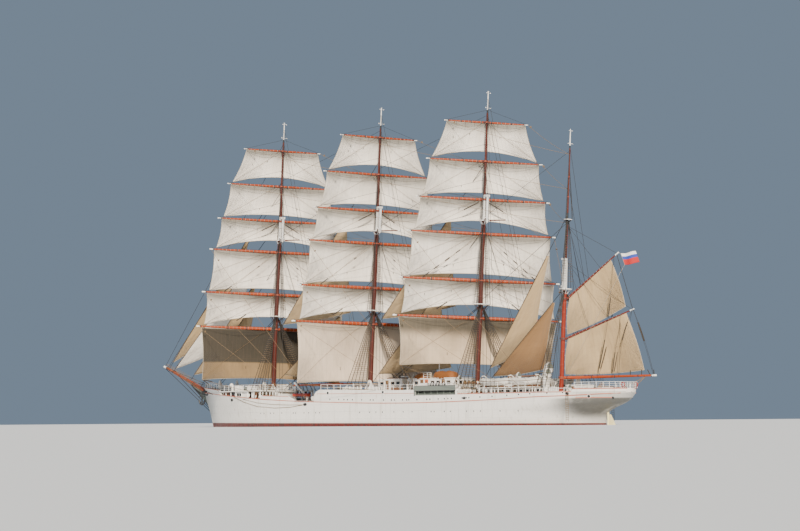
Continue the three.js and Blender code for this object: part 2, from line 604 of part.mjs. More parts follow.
for (const data of MASTS) {
  const leaning = new THREE.Group();
  leaning.position.set(data.x * MM_PER_METRE, 0, MAST_DATUM * MM_PER_METRE);
  leaning.rotation.y = RAKE;
  leaning.add(scaled(`${data.name}_mast`, mast(data), PAINT_ORANGE()));
  const swung = new THREE.Group();
  swung.rotation.z = THREE.MathUtils.degToRad(data.swing);
  if (data.square) {
    YARDS.forEach((row, level) => {
      swung.add(scaled(`${data.name}_${row.name}_yard`, yard(data, row), PAINT_ORANGE()));
      swung.add(scaled(`${data.name}_${row.name}_sail`, squareSail(data, level), CANVAS()));
    });
  } else {
    Object.values(SPANKER_SPARS).forEach((row) => swung.add(scaled(row.name, spankerSpar(data, row), PAINT_ORANGE())));
    SPANKER_SAILS.forEach((row) => swung.add(scaled(row.name, spankerSail(data, row), CANVAS_TAN())));
  }
  leaning.add(swung);
  ship.add(leaning);
}

export default ship;
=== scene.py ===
"""Four-masted barque under sail, a 1:10 scale model.

Sizes are metres of the full-size ship, and MODEL_SCALE makes them metres of the model.
+X is aft, port is -Y, +Z is up, and the water lies at height 0.
"""

from math import atan2, cos, exp, hypot, pi, radians, sin, tan

import bmesh
import bpy
import numpy as np
from mathutils import Matrix, Vector, noise


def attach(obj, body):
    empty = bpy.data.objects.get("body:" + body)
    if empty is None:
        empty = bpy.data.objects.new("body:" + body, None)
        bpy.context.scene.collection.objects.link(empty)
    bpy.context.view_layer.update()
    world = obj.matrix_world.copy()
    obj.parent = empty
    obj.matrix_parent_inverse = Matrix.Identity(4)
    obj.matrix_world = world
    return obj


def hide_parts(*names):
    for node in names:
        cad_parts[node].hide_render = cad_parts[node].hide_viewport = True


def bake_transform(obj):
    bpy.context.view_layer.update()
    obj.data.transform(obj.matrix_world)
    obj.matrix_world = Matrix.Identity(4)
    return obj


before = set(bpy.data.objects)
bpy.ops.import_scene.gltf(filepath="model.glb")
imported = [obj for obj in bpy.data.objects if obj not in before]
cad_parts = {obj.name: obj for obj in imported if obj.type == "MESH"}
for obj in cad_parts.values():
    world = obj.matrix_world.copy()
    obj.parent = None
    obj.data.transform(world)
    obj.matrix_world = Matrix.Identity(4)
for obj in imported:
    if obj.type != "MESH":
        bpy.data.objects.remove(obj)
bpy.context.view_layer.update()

MODEL_SCALE = 0.1
RAKE = radians(3.58)
MAST_DATUM = 7.0

# Masts: where they stand, height of foot and truck, and how many degrees their yards or boom are swung
MASTS = {
    "fore": (-32.0, 6.93, 58.9, -31),
    "main": (-6.5, 6.615, 58.9, -27),
    "mizzen": (19.0, 6.473, 58.9, -37),
    "jigger": (37.4, 4.95, 50.2, 20),
}
SIDES = ((-1, "port"), (1, "starboard"))
SQUARE_RIGGED = ("fore", "main", "mizzen")
SQUARE_RADII = [(4, 0.43), (22, 0.41), (36, 0.34), (40.4, 0.3), (40.6, 0.25), (55, 0.17), (56, 0.12),
                (58.6, 0.08), (58.9, 0.05)]
JIGGER_RADII = [(4, 0.38), (23, 0.34), (28, 0.3), (28.2, 0.2), (36, 0.17), (47, 0.12),
                (50.0, 0.07), (50.2, 0.05)]

# Yards from the lowest up: height, half length, how far ahead of the mast, radius, and for the sail
# below: drop from yard to clew, rise of the foot's middle, belly
YARDS = {
    "course": (18.8, 15.4, 1.15, 0.31, 9.6, 0.6, 2.2),
    "lower_topsail": (25.45, 14.6, 1.05, 0.29, 6.0, 2.0, 1.6),
    "upper_topsail": (33.7, 13.5, 0.95, 0.26, 7.7, 0.9, 1.8),
    "lower_topgallant": (39.75, 12.2, 0.85, 0.23, 5.5, 2.0, 1.3),
    "upper_topgallant": (46.5, 10.6, 0.75, 0.2, 6.2, 0.9, 1.4),
    "royal": (53.4, 7.65, 0.65, 0.17, 6.4, 1.5, 1.1),
}
COURSE_DROP = {"fore": 9.9, "main": 11.0, "mizzen": 8.4}

# Sails on stays: the stay's lower end and the point that sets its slope, as (x, z), the tack's and
# the head's share of the way between them, the clew, and the belly to starboard
STAYSAILS = {
    "flying_jib": ((-62.3, 11.8), (-38.0, 38.2), 0.05, 0.96, (-46.5, 2.2, 21.4), 1.4),
    "outer_jib": ((-61.0, 11.2), (-36.6, 33.9), 0.03, 0.96, (-45.6, 2.9, 17.2), 1.2),
    "inner_jib": ((-56.0, 9.15), (-36.6, 28.5), 0.07, 0.96, (-43.0, 2.6, 13.3), 0.9),
    "fore_topmast_staysail": ((-52.9, 7.85), (-36.2, 25.8), 0.08, 0.95, (-42.2, 2.2, 12.0), 0.7),
    "main_staysail": ((-31.9, 7.8), (-13.6, 21.2), 0.16, 0.95, (-15.6, 2.4, 8.9), 0.8),
    "main_topmast_staysail": ((-31.3, 17.2), (-12.0, 39.6), 0.11, 0.96, (-13.6, 2.4, 21.4), 1.0),
    "mizzen_staysail": ((-6.45, 7.5), (10.8, 24.6), 0.12, 0.95, (11.2, 2.2, 10.4), 0.8),
    "mizzen_topmast_staysail": ((-5.86, 17.2), (13.6, 37.9), 0.12, 0.96, (12.2, 2.4, 21.4), 1.0),
    "jigger_staysail": ((20.2, 6.3), (36.4, 21.4), 0.15, 0.96, (32.4, 1.8, 9.6), 0.8),
    "jigger_topmast_staysail": ((19.4, 6.2), (35.3, 29.8), 0.16, 0.96, (30.3, 1.9, 14.5), 0.8),
}
HEAD_WIDTH = 0.5
LEECH_HOLLOW = 0.25
HEAD_FILL = 0.02

BOWSPRIT_HEEL = (-49.6, 0, 6.48)
BOWSPRIT_END = (-63.7, 0, 12.39)

# Jigger mast's spars: height of the ring on the mast, end as (distance aft, height), radius at both ends
SPANKER_SPARS = {
    "spanker_boom": (8.0, (16.4, 8.15), 0.26, 0.16),
    "lower_gaff": (14.6, (12.2, 19.3), 0.2, 0.1),
    "upper_gaff": (21.4, (9.2, 28.9), 0.2, 0.1),
}
# Sails under the gaffs: gaff, share of it at throat and peak, clew and tack as (distance aft, height), belly
SPANKER_SAILS = {
    "lower_spanker": ("lower_gaff", 0.03, 0.88, (14.3, 9.06), (0.7, 8.6), 0.9),
    "upper_spanker": ("upper_gaff", 0.03, 0.84, (10.7, 19.75), (0.75, 15.3), 0.7),
}


# Camera and studio

def placed(name, data):
    """New object in the scene"""
    made = bpy.data.objects.new(name, data)
    bpy.context.scene.collection.objects.link(made)
    return made


def place_camera():
    """The photograph's viewpoint: off the port quarter, near the water, with a long lens"""
    around, lift, roll = radians(41.616), radians(4.711), radians(0.436)
    right = Vector((cos(around), sin(around), 0))
    level = Vector((-sin(around), cos(around), 0))
    ahead = level * cos(lift) + Vector((0, 0, sin(lift)))
    up = right.cross(ahead)
    spot = level * -367.282 + right * 24.709 + Vector((-32.0, 0, 0.80))
    axes = Matrix((right * cos(roll) - up * sin(roll), right * sin(roll) + up * cos(roll), -ahead))
    camera = placed("camera", bpy.data.cameras.new("camera"))
    camera.matrix_world = Matrix.Translation(spot * MODEL_SCALE) @ axes.transposed().to_4x4()
    camera.data.lens = 85.243
    camera.data.sensor_width = 36.0
    camera.data.clip_end = 1000.0
    bpy.context.scene.camera = camera


def light_studio():
    """Warm soft key light from the port quarter, a wide cool fill from ahead and a blue surround"""
    world = bpy.data.worlds.new("studio")
    bpy.context.scene.world = world
    world.use_nodes = True
    background = world.node_tree.nodes["Background"]
    background.inputs["Color"].default_value = (0.42, 0.56, 0.74, 1)
    background.inputs["Strength"].default_value = 0.42
    for name, strength, width, colour, towards in (("key", 7.6, 5, (1.0, 0.9, 0.76), (0.7, -0.62, 0.52)),
                                                   ("fill", 0.5, 40, (0.86, 0.93, 1.0), (-0.5, -0.8, 0.35))):
        light = bpy.data.lights.new(name, "SUN")
        light.energy = strength
        light.angle = radians(width)
        light.color = colour
        holder = placed(name, light)
        holder.rotation_mode = "QUATERNION"
        holder.rotation_quaternion = Vector(towards).to_track_quat("Z", "Y")


def lay_floor():
    """Pale floor at the height of the water"""
    mesh = bpy.data.meshes.new("floor")
    reach = 400.0
    mesh.from_pydata([(-reach, -reach, 0), (reach, -reach, 0), (reach, reach, 0), (-reach, reach, 0)], [],
                     [(0, 1, 2, 3)])
    finish = Finish("floor_paper", 0.9)
    finish.colour((0.74, 0.76, 0.78))
    mesh.materials.append(finish.material)
    placed("floor", mesh)


# Materials

class Finish:
    """Material built from nodes that read Object coordinates or the piece's own UV map"""

    def __init__(self, name, roughness, metallic=0.0):
        self.material = bpy.data.materials.new(name)
        self.material.use_nodes = True
        self.tree = self.material.node_tree
        self.shader = self.tree.nodes["Principled BSDF"]
        self.shader.inputs["Roughness"].default_value = roughness
        self.shader.inputs["Metallic"].default_value = metallic
        self.places = self.tree.nodes.new("ShaderNodeTexCoord")

    def node(self, kind, settings=None, **inputs):
        made = self.tree.nodes.new("ShaderNode" + kind)
        for name, value in (settings or {}).items():
            setattr(made, name, value)
        for name, value in inputs.items():
            self.join(made.inputs[name.replace("_", " ")], value)
        return made

    def join(self, socket, value):
        if isinstance(value, bpy.types.NodeSocket):
            self.tree.links.new(value, socket)
        elif hasattr(value, "__len__") and len(value) == 3 and socket.type == "RGBA":
            socket.default_value = (*value, 1)
        else:
            socket.default_value = value

    def stretched(self, scale=(1, 1, 1), source="Object", turn=(0, 0, 0)):
        """Coordinates in ship metres, stretched by scale"""
        size = [s / MODEL_SCALE for s in scale]
        mapping = self.node("Mapping", Vector=self.places.outputs[source], Scale=size, Rotation=turn)
        return mapping.outputs["Vector"]

    def noise(self, scale, stretch=(1, 1, 1), detail=4.0, roughness=0.55, source="Object"):
        return self.node("TexNoise", Vector=self.stretched(stretch, source), Scale=scale, Detail=detail,
                         Roughness=roughness).outputs["Fac"]

    def part(self, axis, source="Object"):
        """One coordinate in ship metres"""
        return self.node("SeparateXYZ", Vector=self.stretched(source=source)).outputs[axis]

    def sum(self, operation, first, second=0.0):
        made = self.node("Math", {"operation": operation})
        self.join(made.inputs[0], first)
        self.join(made.inputs[1], second)
        return made.outputs[0]

    def times(self, first, *others):
        for other in others:
            first = self.sum("MULTIPLY", first, other)
        return first

    def step(self, value, low, high, start=0.0, end=1.0):
        """Smooth rise from start to end while value goes from low to high"""
        made = self.node("MapRange", {"interpolation_type": "SMOOTHSTEP"}, Value=value)
        for name, number in (("From Min", low), ("From Max", high), ("To Min", start), ("To Max", end)):
            made.inputs[name].default_value = number
        return made.outputs[0]

    def blend(self, share, first, second, way="MIX"):
        made = self.node("Mix", {"data_type": "RGBA", "blend_type": way})
        for place, value in ((0, share), (6, first), (7, second)):
            self.join(made.inputs[place], value)
        return made.outputs[2]

    def colour(self, value):
        self.join(self.shader.inputs["Base Color"], value)

    def rough(self, share, low, high):
        self.join(self.shader.inputs["Roughness"], self.step(share, 0.2, 0.8, low, high))

    def bumps(self, *heights):
        """Raised pattern from pairs of (height, depth in ship metres)"""
        total = None
        for height, depth in heights:
            made = self.node("Bump", Height=height, Strength=1.0, Distance=depth * MODEL_SCALE)
            if total:
                self.join(made.inputs["Normal"], total)
            total = made.outputs["Normal"]
        self.join(self.shader.inputs["Normal"], total)


def plating():
    """White steel plates with seams, dents, rain streaks and rust, painted shade at both ends, and red below
    the waterline
    """
    f = Finish("hull_white_plating", 0.45)
    height, aft = f.part("Z"), f.part("X")
    seams = f.node("TexBrick", {"offset": 0.5}, Vector=f.stretched(turn=(radians(90), 0, 0)), Scale=1.0,
                   Mortar_Size=0.012, Mortar_Smooth=0.6, Brick_Width=6.1, Row_Height=1.35, Color1=(1, 1, 1),
                   Color2=(0.93, 0.93, 0.93), Mortar=(0.55, 0.55, 0.55))
    dents = f.noise(0.55, (1, 0.4, 1), 2.0)
    streaks = f.step(f.noise(1.0, (2.4, 2.4, 0.12), 3.0), 0.52, 0.75)
    rust = f.times(f.step(f.noise(1.0, (1.3, 1.3, 0.16), 5.0, 0.7), 0.63, 0.76),
                   f.step(f.noise(0.16), 0.42, 0.62))
    wet = f.step(f.sum("ADD", height, f.times(f.noise(0.8), 0.22)), 1.5, 0.45)
    # Painted shade: under the counter, mixed there with dirt, on the stern quarter, and on the bow near the
    # stem
    counter_shade_and_dirt = f.times(f.step(aft, 38.5, 44.5), f.step(height, 4.6, 4.3), f.step(height, 0.1, 2.1),
                     f.step(f.noise(0.4, (0.5, 1, 1), 5.0, 0.6), 0.15, 0.5))
    stern_quarter_shade = f.times(f.step(aft, 42.0, 46.0), f.step(height, 5.6, 5.4))
    bow = f.times(f.step(aft, -44.0, -49.5), f.step(height, 7.2, 6.2))
    paint = f.blend(0.35, (0.84, 0.81, 0.76), seams.outputs["Color"], "MULTIPLY")
    # Streaks, rust and the water stain are the plating's own; the last three marks are painted shade
    for mark, strength, stain in ((streaks, 0.4, (0.42, 0.38, 0.32)), (rust, 0.64, (0.33, 0.12, 0.04)),
                                  (wet, 0.35, (0.30, 0.22, 0.16)), (counter_shade_and_dirt, 0.93, (0.062, 0.064, 0.055)),
                                  (stern_quarter_shade, 0.4, (0.20, 0.19, 0.165)), (bow, 0.5, (0.20, 0.23, 0.24))):
        paint = f.blend(f.times(mark, strength), paint, stain)
    red = f.blend(f.step(f.noise(2.0, (1, 1, 0.3)), 0.4, 0.7), (0.12, 0.012, 0.008), (0.055, 0.014, 0.01))
    above_line = f.sum("SUBTRACT", height, f.times(aft, -0.0055))
    f.colour(f.blend(f.step(above_line, 0.60, 0.54), paint, red))
    f.rough(f.noise(1.7), 0.35, 0.6)
    f.bumps((seams.outputs["Fac"], -0.02), (dents, 0.06), (f.noise(14.0), 0.004))
    return f.material


def weathered_paint(name, colour, worn, roughness=0.5, spots=0.5):
    """Brushed paint with chalking, runs and worn edges"""
    f = Finish(name, roughness)
    runs = f.noise(1.0, (5, 5, 0.5), 4.0)
    blots = f.noise(3.2, detail=6.0, roughness=0.65)
    edges = f.node("NewGeometry").outputs["Pointiness"]
    paint = f.blend(f.step(runs, 0.45, 0.8, 0.0, 0.55), colour, [c * 0.68 for c in colour])
    paint = f.blend(f.step(blots, 0.62, 0.74, 0.0, spots), paint, worn)
    f.colour(f.blend(f.step(edges, 0.53, 0.6, 0.0, 0.5), paint, [min(1, c * 1.35 + 0.04) for c in colour]))
    f.rough(blots, roughness - 0.12, roughness + 0.18)
    f.bumps((blots, 0.008), (runs, 0.006))
    return f.material


def planking():
    """Scrubbed deck planks along the ship with dark caulked seams"""
    f = Finish("deck_planks", 0.7)
    colour = (0.50, 0.40, 0.28)
    planks = f.node("TexBrick", {"offset": 0.37, "offset_frequency": 3}, Vector=f.stretched(), Scale=1.0,
                    Mortar_Size=0.012, Mortar_Smooth=0.3, Brick_Width=6.5, Row_Height=0.16, Bias=0.1,
                    Color1=(1, 1, 1), Color2=(0.72, 0.7, 0.66), Mortar=(0.06, 0.05, 0.04))
    grain = f.noise(6.0, (0.12, 3, 1), 6.0, 0.7)
    wet = f.noise(0.35, detail=3.0)
    wood = f.blend(f.step(grain, 0.3, 0.75), colour, [c * 0.62 for c in colour])
    wood = f.blend(1.0, wood, planks.outputs["Color"], "MULTIPLY")
    f.colour(f.blend(f.step(wet, 0.5, 0.7, 0.0, 0.35), wood, [c * 0.45 for c in colour]))
    f.rough(grain, 0.55, 0.85)
    f.bumps((planks.outputs["Fac"], -0.012), (grain, 0.006))
    return f.material


def corner_fans(f):
    """Creases that fan out from a sail's lower corners"""
    fans = None
    for corner in ("left_corner", "right_corner"):
        place = f.node("Attribute", {"attribute_name": corner}).outputs["Vector"]
        split = f.node("SeparateXYZ", Vector=place)
        aside, above = split.outputs["X"], split.outputs["Y"]
        angle = f.sum("ARCTAN2", above, f.sum("ADD", aside, 0.05))
        away = f.sum("SQRT", f.sum("ADD", f.times(aside, aside), f.times(above, above)))
        folds = f.node("TexNoise", {"noise_dimensions": "1D"}, W=f.times(angle, 26.0), Detail=3.0,
                       Roughness=0.6).outputs["Fac"]
        fan = f.times(f.step(folds, 0.5, 0.68), f.step(away, 7.5, 1.5), f.step(away, 0.05, 0.5))
        fans = f.sum("MAXIMUM", fans, fan) if fans else fan
    return fans


def canvas(name, light, shaded, stain_and_crease_shade, head=None):
    """Sailcloth sewn from narrow panels, with creases; head is the painted shade below the yard as (colour,
    depth, raggedness, strength)
    """
    f = Finish(name, 0.9)
    panel = 0.78
    f.shader.inputs["Sheen Weight"].default_value = 0.15
    f.shader.inputs["Sheen Roughness"].default_value = 0.6

    def cloth_noise(scale, stretch=(1, 1, 1), detail=4.0, roughness=0.55):
        return f.noise(scale, stretch, detail, roughness, "UV")

    across = f.part("X", "UV")
    down = f.part("Y", "UV")
    seam = f.step(f.sum("PINGPONG", across, panel / 2), 0.028, 0.0)
    tabling = f.step(f.sum("PINGPONG", down, 2.9), 0.05, 0.0)
    sewn = f.sum("MAXIMUM", seam, f.times(tabling, 0.7))
    tone = cloth_noise(0.16, (1, 0.35, 1), 3.0)
    panel_tone = f.node("TexWhiteNoise", {"noise_dimensions": "1D"},
                        W=f.sum("FLOOR", f.sum("DIVIDE", across, panel))).outputs["Value"]
    dirt = f.step(cloth_noise(0.7, (1.5, 0.3, 1), 5.0, 0.65), 0.5, 0.8)
    fans = corner_fans(f)
    wrinkles = cloth_noise(0.5, (0.35, 2.4, 1), 5.0, 0.6)
    cloth = f.blend(f.step(tone, 0.35, 0.7), light, shaded)
    # Random tone, panel tone and dirt are the cloth's own; the darker wrinkles are painted shade
    for mark, strength, colour in ((panel_tone, 0.25, shaded), (dirt, 0.3, stain_and_crease_shade),
                                   (f.step(wrinkles, 0.56, 0.72), 0.3, shaded)):
        cloth = f.blend(f.times(mark, strength), cloth, colour)
    # Painted shade below the yard, darkest at the head and fading downward
    if head:
        head_shade_colour, deep, ragged, strength = head
        edge = f.sum("ADD", down, f.times(cloth_noise(0.22, (1, 0.6, 1)), ragged))
        shade = f.step(edge, deep + ragged * 0.8, deep - ragged * 0.8)
        cloth = f.blend(f.times(shade, strength), cloth, head_shade_colour)
    # Painted shade along the creases that fan from the lower corners
    cloth = f.blend(f.times(fans, 0.2), cloth, stain_and_crease_shade)
    f.colour(f.blend(f.times(sewn, 0.4), cloth, [c * 0.6 for c in shaded]))
    creases = cloth_noise(0.9, (1.6, 0.5, 1), 4.0, 0.5)
    weave = cloth_noise(60.0, detail=1.0)
    f.bumps((creases, 0.12), (wrinkles, 0.08), (fans, -0.07), (sewn, -0.012), (weave, 0.0015))
    f.rough(dirt, 0.85, 0.95)
    return f.material


def cordage(name, colour, dark, twist=9.0):
    """Laid rope or served wire"""
    f = Finish(name, 0.8)
    strands = f.node("TexWave", {"bands_direction": "DIAGONAL"}, Vector=f.stretched(), Scale=twist,
                     Distortion=1.5, Detail=2.0).outputs["Fac"]
    f.colour(f.blend(f.step(strands, 0.2, 0.8), dark, colour))
    f.bumps((strands, 0.012))
    return f.material


def polished(name, colour, roughness, metallic=1.0):
    """Metal or glass with a few dull marks"""
    f = Finish(name, roughness, metallic)
    marks = f.noise(5.0, detail=5.0)
    f.colour(f.blend(f.step(marks, 0.35, 0.75), colour, [c * 0.5 for c in colour]))
    f.rough(marks, roughness - 0.1, roughness + 0.2)
    f.bumps((marks, 0.006))
    return f.material


def flag_cloth():
    """Plain bunting in three bands across the hoist"""
    f = Finish("flag_bunting", 0.8)
    down = f.part("Y", "UV")
    lower = f.blend(f.step(down, 0.98, 1.0), (0.03, 0.06, 0.36), (0.45, 0.02, 0.02))
    f.colour(f.blend(f.step(down, 0.48, 0.5), (0.78, 0.77, 0.74), lower))
    f.bumps((f.noise(40.0, source="UV", detail=1.0), 0.004))
    return f.material


HULL_WHITE = plating()
RUDDER_PAINT = weathered_paint("rudder_paint", (0.80, 0.68, 0.36), (0.50, 0.30, 0.09), 0.45, 0.8)
WALL_WHITE = weathered_paint("white_wall_paint", (0.80, 0.77, 0.71), (0.45, 0.30, 0.18), 0.45, 0.3)
MAST_ORANGE = weathered_paint("mast_orange_paint", (0.085, 0.009, 0.0015), (0.04, 0.006, 0.002), 0.4)
JIGGER_ORANGE = weathered_paint("jigger_orange_paint", (0.23, 0.018, 0.0015), (0.10, 0.01, 0.002), 0.4)
YARD_ORANGE = weathered_paint("yard_orange_paint", (0.33, 0.042, 0.002), (0.13, 0.02, 0.003), 0.4)
GAFF_ORANGE = weathered_paint("gaff_orange_paint", (0.13, 0.013, 0.003), (0.055, 0.008, 0.002), 0.4)
SPAR_WHITE = weathered_paint("spar_white_paint", (0.80, 0.78, 0.74), (0.36, 0.32, 0.28), 0.45)
TRIM_ORANGE = weathered_paint("trim_orange_paint", (0.50, 0.085, 0.02), (0.26, 0.06, 0.02), 0.45)
SIGNAL_RED = weathered_paint("red_paint", (0.26, 0.008, 0.006), (0.10, 0.01, 0.008), 0.4)
GREY_PAINT = weathered_paint("grey_paint", (0.125, 0.145, 0.125), (0.07, 0.065, 0.055))
BROWN_WOOD = weathered_paint("varnished_brown_wood", (0.14, 0.055, 0.02), (0.07, 0.03, 0.012), 0.4)
BLACK_IRON = weathered_paint("black_iron", (0.018, 0.018, 0.020), (0.09, 0.05, 0.03))
DECK_TEAK = planking()
# The last value of each sail canvas is its painted shade below the yard
SQUARE_CANVAS = canvas("square_sail_canvas", (0.90, 0.84, 0.76), (0.72, 0.66, 0.58), (0.48, 0.43, 0.35),
                       ((0.17, 0.155, 0.125), 1.9, 1.5, 0.92))
COURSE_CANVAS = canvas("course_canvas", (0.68, 0.56, 0.44), (0.56, 0.45, 0.34), (0.34, 0.27, 0.19),
                       ((0.30, 0.25, 0.18), 1.8, 1.5, 0.8))
SHADED_CANVAS = canvas("shaded_course_canvas", (0.60, 0.47, 0.33), (0.47, 0.36, 0.24), (0.29, 0.22, 0.14),
                       ((0.085, 0.070, 0.046), 3.4, 1.5, 0.95))
# Fore course: tan canvas with a painted shadow over its upper two thirds
SHADOWED_FORE_CANVAS = canvas("old_course_canvas", (0.26, 0.17, 0.08), (0.20, 0.13, 0.06), (0.11, 0.07, 0.03),
                    ((0.030, 0.025, 0.016), 6.7, 0.25, 0.95))
TAN_CANVAS = canvas("staysail_canvas", (0.50, 0.36, 0.20), (0.38, 0.26, 0.13), (0.20, 0.13, 0.06))
BROWN_CANVAS = canvas("brown_staysail_canvas", (0.30, 0.165, 0.065), (0.24, 0.125, 0.045),
                      (0.13, 0.07, 0.025))
COVER_CANVAS = weathered_paint("orange_cover_canvas", (0.20, 0.065, 0.010), (0.10, 0.035, 0.008), 0.85)
BOAT_CANVAS = weathered_paint("grey_cover_canvas", (0.66, 0.64, 0.58), (0.36, 0.33, 0.28), 0.85)
WIRE = cordage("black_wire_rope", (0.045, 0.04, 0.036), (0.016, 0.014, 0.013))
HEMP = cordage("hemp_rope", (0.30, 0.20, 0.105), (0.13, 0.08, 0.04))
PALE_ROPE = cordage("white_rope", (0.60, 0.54, 0.44), (0.36, 0.31, 0.24))
CHAFING = cordage("chafing_gear", (0.055, 0.042, 0.032), (0.02, 0.016, 0.012), 3.0)
BRONZE = polished("bronze", (0.62, 0.42, 0.17), 0.32)
GLASS = polished("dark_glass", (0.015, 0.02, 0.025), 0.12, 0.0)


# Mesh building

def up(z):
    return Vector((0, 0, z))


def mirrored(point, side=-1):
    return Vector((point[0], point[1] * side, point[2]))


class Form:
    """Mesh in ship metres, built up from lofts, bars and boxes, each with its own paint"""

    def __init__(self, stand=None):
        self.stand = stand or Matrix()
        self.points = []
        self.faces = []
        self.paints = []

    def add(self, points, faces, paint=0):
        base = len(self.points)
        self.points += [self.stand @ Vector(p) for p in points]
        self.faces += [[base + i for i in face] for face in faces]
        self.paints += [paint] * len(faces)

    def mirror(self):
        """The same once more on the other side of the ship"""
        base = len(self.points)
        self.points += [mirrored(p) for p in self.points]
        self.faces += [[base + i for i in face] for face in self.faces]
        self.paints += self.paints

    def loft(self, rings, paint=0, ends=True):
        count = len(rings[0])
        last = (len(rings) - 1) * count
        faces = [(i + k, i + (k + 1) % count, i + (k + 1) % count + count, i + k + count)
                 for i in range(0, last, count) for k in range(count)]
        if ends:
            faces += [tuple(reversed(range(count))), tuple(range(last, last + count))]
        self.add([p for ring in rings for p in ring], faces, paint)

    def tube(self, path, radius, sides=8, paint=0):
        """Round bar along points, with one radius or one for each point"""
        path = [Vector(p) for p in path]
        radii = radius if hasattr(radius, "__len__") else [radius] * len(path)
        above = Vector((0, 1, 0)) if abs((path[-1] - path[0]).normalized().z) > 0.9 else up(1)
        rings = []
        for i, (point, r) in enumerate(zip(path, radii)):
            way = (path[min(i + 1, len(path) - 1)] - path[max(i - 1, 0)]).normalized()
            side = way.cross(above).normalized()
            above = side.cross(way)
            turns = [2 * pi * (k + 0.5) / sides for k in range(sides)]
            rings.append([point + side * (r * cos(t)) + above * (r * sin(t)) for t in turns])
        self.loft(rings, paint)

    def post(self, x, y, low, high, radius, paint=0, sides=8):
        self.tube([(x, y, low), (x, y, high)], radius, sides, paint)

    def box(self, x0, x1, y0, y1, z0, z1, paint=0):
        ring = [(y0, z0), (y1, z0), (y1, z1), (y0, z1)]
        self.loft([[(x, y, z) for y, z in ring] for x in (x0, x1)], paint)

    def block(self, x, y, half_x, half_y, low, high, paint=0):
        """Box round a middle point"""
        self.box(x - half_x, x + half_x, y - half_y, y + half_y, low, high, paint)

    def lathe(self, middle, profile, paint=0, sides=24, squash=1.0):
        """Turned shape round a vertical axis, from rows of (radius, height)"""
        x, y, z = middle
        turns = [2 * pi * k / sides for k in range(sides)]
        self.loft([[(x + max(r, 0.004) * cos(t), y + max(r, 0.004) * squash * sin(t), z + h) for t in turns]
                   for r, h in profile], paint)

    def ring(self, x, z, inner, outer, half, paint=0, sides=28):
        """Flat band round a vertical axis on the centre line"""
        rings = []
        for k in range(sides + 1):
            t = 2 * pi * (k % sides) / sides
            rings.append([(x + r * cos(t), r * sin(t), z + h)
                          for r, h in ((inner, -half), (outer, -half), (outer, half), (inner, half))])
        self.loft(rings, paint, ends=False)

    def make(self, name, body, finishes, slot, replaces=(), bevel=0.0):
        mesh = bpy.data.meshes.new(name)
        mesh.from_pydata([p * MODEL_SCALE for p in self.points], [], self.faces)
        mesh.polygons.foreach_set("material_index", self.paints)
        work = bmesh.new()
        work.from_mesh(mesh)
        bmesh.ops.remove_doubles(work, verts=work.verts, dist=1e-6)
        bmesh.ops.recalc_face_normals(work, faces=work.faces)
        work.to_mesh(mesh)
        work.free()
        piece = placed(name, mesh)
        smooth(mesh, 35)
        if bevel:
            rounding = piece.modifiers.new("edges", "BEVEL")
            rounding.width = bevel * MODEL_SCALE
            rounding.segments = 2
            rounding.limit_method = "ANGLE"
            rounding.angle_limit = radians(50)
        return settle(piece, body, finishes, replaces)


def smooth(mesh, sharp):
    mesh.shade_smooth()
    mesh.set_sharp_from_angle(angle=radians(sharp))


def settle(piece, body, finishes, replaces=()):
    """Gives a piece its finishes and its place on a moving body"""
    paints = np.zeros(len(piece.data.polygons), dtype=np.int32)
    piece.data.polygons.foreach_get("material_index", paints)
    piece.data.materials.clear()
    for finish in finishes:
        piece.data.materials.append(finish)
    piece.data.polygons.foreach_set("material_index", paints)
    if body:
        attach(piece, body)
    if replaces:
        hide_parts(*replaces)
    return piece


def plain_mesh(source, name, sharp):
    """What an object's modifiers make of it, as a new object instead of the old one"""
    graph = bpy.context.evaluated_depsgraph_get()
    made = bpy.data.meshes.new_from_object(source.evaluated_get(graph))
    bpy.data.objects.remove(source)
    made.name = name
    smooth(made, sharp)
    return placed(name, made)


def node_group(name, sockets):
    """Empty geometry node group with named inputs, given as rows of (name, kind)"""
    group = bpy.data.node_groups.new(name, "GeometryNodeTree")
    group.interface.new_socket("Geometry", in_out="INPUT", socket_type="NodeSocketGeometry")
    for label, kind in sockets:
        group.interface.new_socket(label, in_out="INPUT", socket_type="NodeSocket" + kind)
    group.interface.new_socket("Geometry", in_out="OUTPUT", socket_type="NodeSocketGeometry")
    return group, group.nodes.new("NodeGroupInput").outputs, group.nodes.new("NodeGroupOutput")


def chain(group, given, kinds, output):
    """Joins geometry nodes one after the other, then realizes instances and sets the material"""
    last = given["Geometry"]
    made = []
    for kind in (*kinds, "RealizeInstances", "SetShadeSmooth", "SetMaterial"):
        step = group.nodes.new("GeometryNode" + kind)
        group.links.new(last, step.inputs[0])
        last = step.outputs[0]
        made.append(step)
    group.links.new(given["Finish"], made[-1].inputs["Material"])
    group.links.new(last, output.inputs[0])
    return made


def stored(group, name, kind):
    """Output of a node that reads a value kept on each point"""
    node = group.nodes.new("GeometryNodeInputNamedAttribute")
    node.data_type = kind
    node.inputs["Name"].default_value = name
    return node.outputs["Attribute"]


def line_group():
    """Lines of a mesh become round ropes, each point's thickness from its own attribute"""
    group, given, output = node_group("rope on a line", [("Sides", "Int"), ("Thickness", "Float"),
                                                         ("Finish", "Material")])
    sweep = chain(group, given, ("MeshToCurve", "CurveToMesh"), output)[1]
    circle = group.nodes.new("GeometryNodeCurvePrimitiveCircle")
    for source, target in ((given["Sides"], circle.inputs["Resolution"]),
                           (given["Thickness"], circle.inputs["Radius"]),
                           (circle.outputs["Curve"], sweep.inputs["Profile Curve"]),
                           (stored(group, "thickness", "FLOAT"), sweep.inputs["Scale"])):
        group.links.new(source, target)
    sweep.inputs["Fill Caps"].default_value = True
    return group


